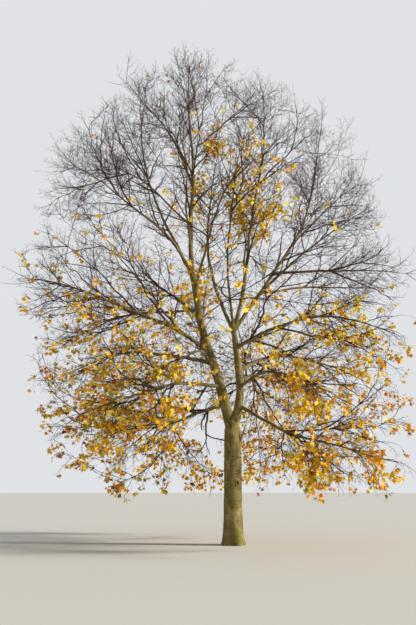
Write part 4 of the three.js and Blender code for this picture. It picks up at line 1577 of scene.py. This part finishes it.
# %% The shared leaf marks
leaf_marks, marks_in, marks_out = new_group(
    "leaf marks", ["Blade", "Place"], ["Veins", "Blotches", "Tone"]
)
parted = leaf_marks.nodes.new("ShaderNodeSeparateXYZ")
leaf_marks.links.new(marks_in.outputs["Blade"], parted.inputs[0])
# the midrib runs along the middle of the blade, and a vein slants out to the lobe on each side
from_middle = math_node(leaf_marks, "SUBTRACT", parted.outputs[1], 0.5)
across_blade = math_node(leaf_marks, "ABSOLUTE", from_middle)
along_blade = math_node(leaf_marks, "SUBTRACT", parted.outputs[0], 0.5)
midrib = ramp(leaf_marks, across_blade, 0.03, 0.012)
vein_line = math_node(leaf_marks, "MULTIPLY", along_blade, 1.08)
from_vein = math_node(leaf_marks, "SUBTRACT", across_blade, vein_line)
side_vein = ramp(leaf_marks, math_node(leaf_marks, "ABSOLUTE", from_vein), 0.03, 0.01)
blotch = stretched_noise(leaf_marks, marks_in.outputs["Place"], (1, 1, 1), 38, 3)
tone = stretched_noise(leaf_marks, marks_in.outputs["Place"], (1, 1, 1), 4.5, 2)
masks = {
    "Veins": math_node(leaf_marks, "MAXIMUM", midrib, side_vein),
    "Blotches": ramp(leaf_marks, blotch, 0.6, 0.72),
    "Tone": ramp(leaf_marks, tone, 0.35, 0.65),
}
put_out(leaf_marks, marks_out, masks)
print(leaf_marks.name, "puts out", ", ".join(masks))

# %% [markdown]
# ## Bark
# A maple's bark is grey-brown with an olive cast, where a green film of algae grows on it. It is paler
# in patches and dark in its cracks, and thin wood keeps its smooth brown rind. One colour with a bump
# would look like plaster. So several colours are mixed by the masks of the grain, which the bark
# reads from the corners' own attributes, so that it runs along each limb.

# %% Colours, and how a material starts


def plain_colour(r, g, b):
    """A colour as it looks on a screen, 0 to 255, in the plain numbers that a shader needs."""
    return tuple(((c / 255 + 0.055) / 1.055) ** 2.4 if c > 10 else c / 3294.6 for c in (r, g, b))


def start_material(name, roughness):
    """A new material with its tree of nodes and its shader."""
    material = bpy.data.materials.new(name)
    material.use_nodes = True
    tree = material.node_tree
    shader = tree.nodes["Principled BSDF"]
    shader.inputs["Roughness"].default_value = roughness
    shader.inputs["Specular IOR Level"].default_value = 0.25
    return material, tree, shader


def finish_material(tree, shader, colour, height, strength, distance):
    """Link the colour, and a bump from the height."""
    tree.links.new(colour, shader.inputs["Base Color"])
    bump = add_node(tree, "ShaderNodeBump", Strength=strength, Distance=distance)
    tree.links.new(height, bump.inputs["Height"])
    tree.links.new(bump.outputs["Normal"], shader.inputs["Normal"])


def attribute(tree, name, output):
    """A socket that reads an attribute of the corners."""
    return add_node(tree, "ShaderNodeAttribute", {"attribute_name": name}).outputs[output]


# %% Bark for the trunk, stems and boughs
THIN_BARK, THICK_BARK = 0.012, 0.045
SCAR_STRENGTH, CRACK_STRENGTH = 0.8, 0.9


def bark_material(name, main, dark, pale, algae_colour, young, wound_colour=None):
    """Bark with cracks, scars, patches and algae. It turns to the young colour as a limb thins."""
    material, tree, shader = start_material(name, 0.88)
    grain = add_node(tree, "ShaderNodeGroup", {"node_tree": bark_grain})
    tree.links.new(attribute(tree, "grain", "Vector"), grain.inputs["Grain"])
    colour = blend(tree, grain.outputs["Patches"], main, pale)
    colour = blend(tree, grain.outputs["Algae"], colour, algae_colour)
    thin = ramp(tree, attribute(tree, "girth", "Fac"), THICK_BARK, THIN_BARK)
    colour = blend(tree, thin, colour, young)
    for title, strength in (("Scars", SCAR_STRENGTH), ("Cracks", CRACK_STRENGTH)):
        mark = math_node(tree, "MULTIPLY", grain.outputs[title], strength)
        colour = blend(tree, mark, colour, dark)
    if wound_colour:
        colour = blend(tree, attribute(tree, "wound", "Fac"), colour, wound_colour)
    finish_material(tree, shader, colour, grain.outputs["Height"], 0.7, 0.008)
    return material


trunk_bark = bark_material(
    "trunk bark",
    main=plain_colour(132, 115, 66),
    dark=plain_colour(50, 42, 25),
    pale=plain_colour(164, 150, 98),
    algae_colour=plain_colour(114, 111, 50),
    young=plain_colour(98, 82, 62),
    wound_colour=plain_colour(66, 38, 20),
)
bough_bark = bark_material(
    "bough bark",
    main=plain_colour(128, 112, 78),
    dark=plain_colour(56, 46, 34),
    pale=plain_colour(154, 141, 106),
    algae_colour=plain_colour(114, 108, 60),
    young=plain_colour(98, 80, 60),
)
print(trunk_bark.name, "has", len(trunk_bark.node_tree.nodes), "nodes")

# %% [markdown]
# ## The rind of the twigs
# Shoots and twigs have no cracked bark yet, but a smooth brown rind, redder on the finest ones, with
# paler scars. Each could carry a grain of its own, as the boughs do, but at their size nobody would
# see it. So the same group reads the place in the tree instead, and neighbours differ in tone.

# %% Rinds for shoots and twigs


def rind_material(name, main, dark, pale):
    """A smooth rind with darker patches and pale scars."""
    material, tree, shader = start_material(name, 0.7)
    grain = add_node(tree, "ShaderNodeGroup", {"node_tree": bark_grain})
    where = tree.nodes.new("ShaderNodeTexCoord")
    tree.links.new(where.outputs["Object"], grain.inputs["Grain"])
    colour = blend(tree, grain.outputs["Patches"], main, dark)
    scarred = math_node(tree, "MULTIPLY", grain.outputs["Scars"], 0.5)
    colour = blend(tree, scarred, colour, pale)
    finish_material(tree, shader, colour, grain.outputs["Height"], 0.4, 0.002)
    return material


shoot_rind = rind_material(
    "shoot rind", plain_colour(78, 57, 38), plain_colour(48, 36, 27), plain_colour(110, 88, 60)
)
twig_rind = rind_material(
    "twig rind", plain_colour(76, 42, 27), plain_colour(46, 27, 20), plain_colour(106, 66, 44)
)
print(twig_rind.name, "has", len(twig_rind.node_tree.nodes), "nodes")

# %% [markdown]
# ## The autumn tints
# A maple's leaves turn from olive through lemon and gold to amber, and go russet as they die. One
# material with a random colour for each leaf would mix the tints evenly, but a real crown turns by
# branches. So each tint has its own material and its own piece, and the sprays were dealt out above
# by where they hang. That dealing is partly painted light: the sunlit right side gets more lemon and
# gold and the shaded left more olive and russet. Within a tint the tone drifts, the veins are lighter
# and a few blotches brown.

# %% The tints: the main colour, the lighter one, and the blotches
LEAF_TINTS = {
    "golden": ((242, 178, 12), (250, 198, 28), (178, 106, 14)),
    "lemon": ((252, 216, 34), (255, 230, 74), (206, 148, 28)),
    "amber": ((232, 150, 12), (242, 172, 24), (152, 88, 14)),
    "olive": ((172, 150, 34), (196, 174, 50), (124, 92, 28)),
    "russet": ((134, 74, 26), (160, 100, 38), (84, 48, 22)),
}


def leaf_material(name, main, light, blotched):
    """A leaf whose tone drifts over the tree, with its veins and blotches."""
    material, tree, shader = start_material(name, 0.62)
    marks = add_node(tree, "ShaderNodeGroup", {"node_tree": leaf_marks})
    where = tree.nodes.new("ShaderNodeTexCoord")
    tree.links.new(where.outputs["UV"], marks.inputs["Blade"])
    tree.links.new(where.outputs["Object"], marks.inputs["Place"])
    colour = blend(tree, marks.outputs["Tone"], main, light)
    veined = math_node(tree, "MULTIPLY", marks.outputs["Veins"], 0.5)
    colour = blend(tree, veined, colour, light)
    colour = blend(tree, marks.outputs["Blotches"], colour, blotched)
    finish_material(tree, shader, colour, marks.outputs["Veins"], 0.3, 0.002)
    return material


leaf_materials = {
    tint: leaf_material(f"{tint} leaf", *(plain_colour(*c) for c in colours))
    for tint, colours in LEAF_TINTS.items()
}
print("finishes:", ", ".join(m.name for m in bpy.data.materials))

# %% [markdown]
# ## Putting it together
# Each piece gets its finish, rides on the tree's one body, and hides the CAD nodes it stands for.
# The trunk's skin stands for the trunk and stems, the tubes for the boughs, and the young limbs,
# shoots, twigs and leaves for the masses. The CAD nodes could have been dressed and kept, but a solid
# mass would show through its own twigs.

# %% Dress, ride and replace
mass_nodes = sorted(n for n in frame["nodes"] if n.endswith(("_twigs", "_foliage")))
bough_nodes = sorted(n for n in frame["nodes"] if n.endswith("_bough"))
leaf_nodes = [n for n in mass_nodes if n.endswith("_foliage")]


def dress(piece, material, nodes):
    """Give a piece its finish and its place in the frame."""
    piece.data.materials.append(material)
    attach(piece, "root")
    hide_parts(*nodes)


dress(trunk_skin, trunk_bark, ["trunk", "left_stem", "right_stem"])
dress(bough_tubes, bough_bark, bough_nodes)
dress(young_piece, shoot_rind, mass_nodes)
dress(shoot_piece, shoot_rind, mass_nodes)
for piece in twig_pieces:
    dress(piece, twig_rind, mass_nodes)
for tint, piece in leaf_pieces.items():
    dress(piece, leaf_materials[tint], leaf_nodes)
crown_pieces = [young_piece, shoot_piece, *twig_pieces, *leaf_pieces.values()]
total = sum(len(piece.data.polygons) for piece in crown_pieces)
print("twigs and leaves:", total, "triangles")

# %% [markdown]
# ## Floor, light and camera
# The tree stands on a plain pale floor. A low warm sun from the right, a little towards the viewer,
# lights one side of the trunk as late-autumn light does, and a pale surround fills the shade. Lamps
# near the tree would light its parts unevenly, because it is so large. The surround is brighter to
# the camera than to the tree, so the background is pale while the shade keeps some depth. The camera
# stands 18 m off at eye height and looks up at the crown.

# %% The floor
FLOOR_RADIUS = 120
floor_mesh = bpy.data.meshes.new("floor")
bm = bmesh.new()
bmesh.ops.create_circle(bm, cap_ends=True, radius=FLOOR_RADIUS, segments=64)
bm.to_mesh(floor_mesh)
bm.free()
floor = put_in_scene("floor", floor_mesh)
# a little below the trunk's cut, so that the two faces don't lie in one plane
floor.location.z = -0.002
floor_material, _, floor_shader = start_material("pale floor", 0.9)
floor_shader.inputs["Base Color"].default_value = (0.78, 0.78, 0.76, 1)
floor_mesh.materials.append(floor_material)
print("the floor is", 2 * FLOOR_RADIUS, "m across")

# %% The pale surround
SEEN_STRENGTH = 0.86
FILL_STRENGTH = 0.33
world = bpy.data.worlds.new("pale surround")
bpy.context.scene.world = world
world.use_nodes = True
background = world.node_tree.nodes["Background"]
background.inputs["Color"].default_value = (0.87, 0.89, 0.92, 1)
ray = world.node_tree.nodes.new("ShaderNodeLightPath")
pick = add_node(world.node_tree, "ShaderNodeMix")
pick.inputs[2].default_value = FILL_STRENGTH
pick.inputs[3].default_value = SEEN_STRENGTH
world.node_tree.links.new(ray.outputs["Is Camera Ray"], pick.inputs[0])
world.node_tree.links.new(pick.outputs[0], background.inputs["Strength"])
print("the surround is", SEEN_STRENGTH, "to the camera and", FILL_STRENGTH, "to the tree")

# %% The low sun
TOWARDS_SUN = Vector((0.95, -0.1, 0.3))
sun = bpy.data.lights.new("low sun", "SUN")
sun.energy = 5.5
sun.angle = math.radians(7)
sun.color = (1.0, 0.94, 0.82)
put_in_scene("low sun", sun).rotation_euler = TOWARDS_SUN.to_track_quat("Z", "Y").to_euler()
sun_height = math.degrees(math.asin(TOWARDS_SUN.normalized().z))
print("the sun stands", round(sun_height), "degrees high")

# %% The camera
EYE = (-0.70, -18.0, 1.6)
LOOKS_UP = 15.85
camera = bpy.data.cameras.new("camera")
camera.lens = 35
camera.sensor_width = 36
camera.clip_end = 500
camera_object = put_in_scene("camera", camera)
camera_object.location = EYE
camera_object.rotation_euler = (math.radians(90 + LOOKS_UP), 0, 0)
bpy.context.scene.camera = camera_object
bpy.context.scene.view_settings.view_transform = "Standard"
print("the camera looks up by", LOOKS_UP, "degrees")
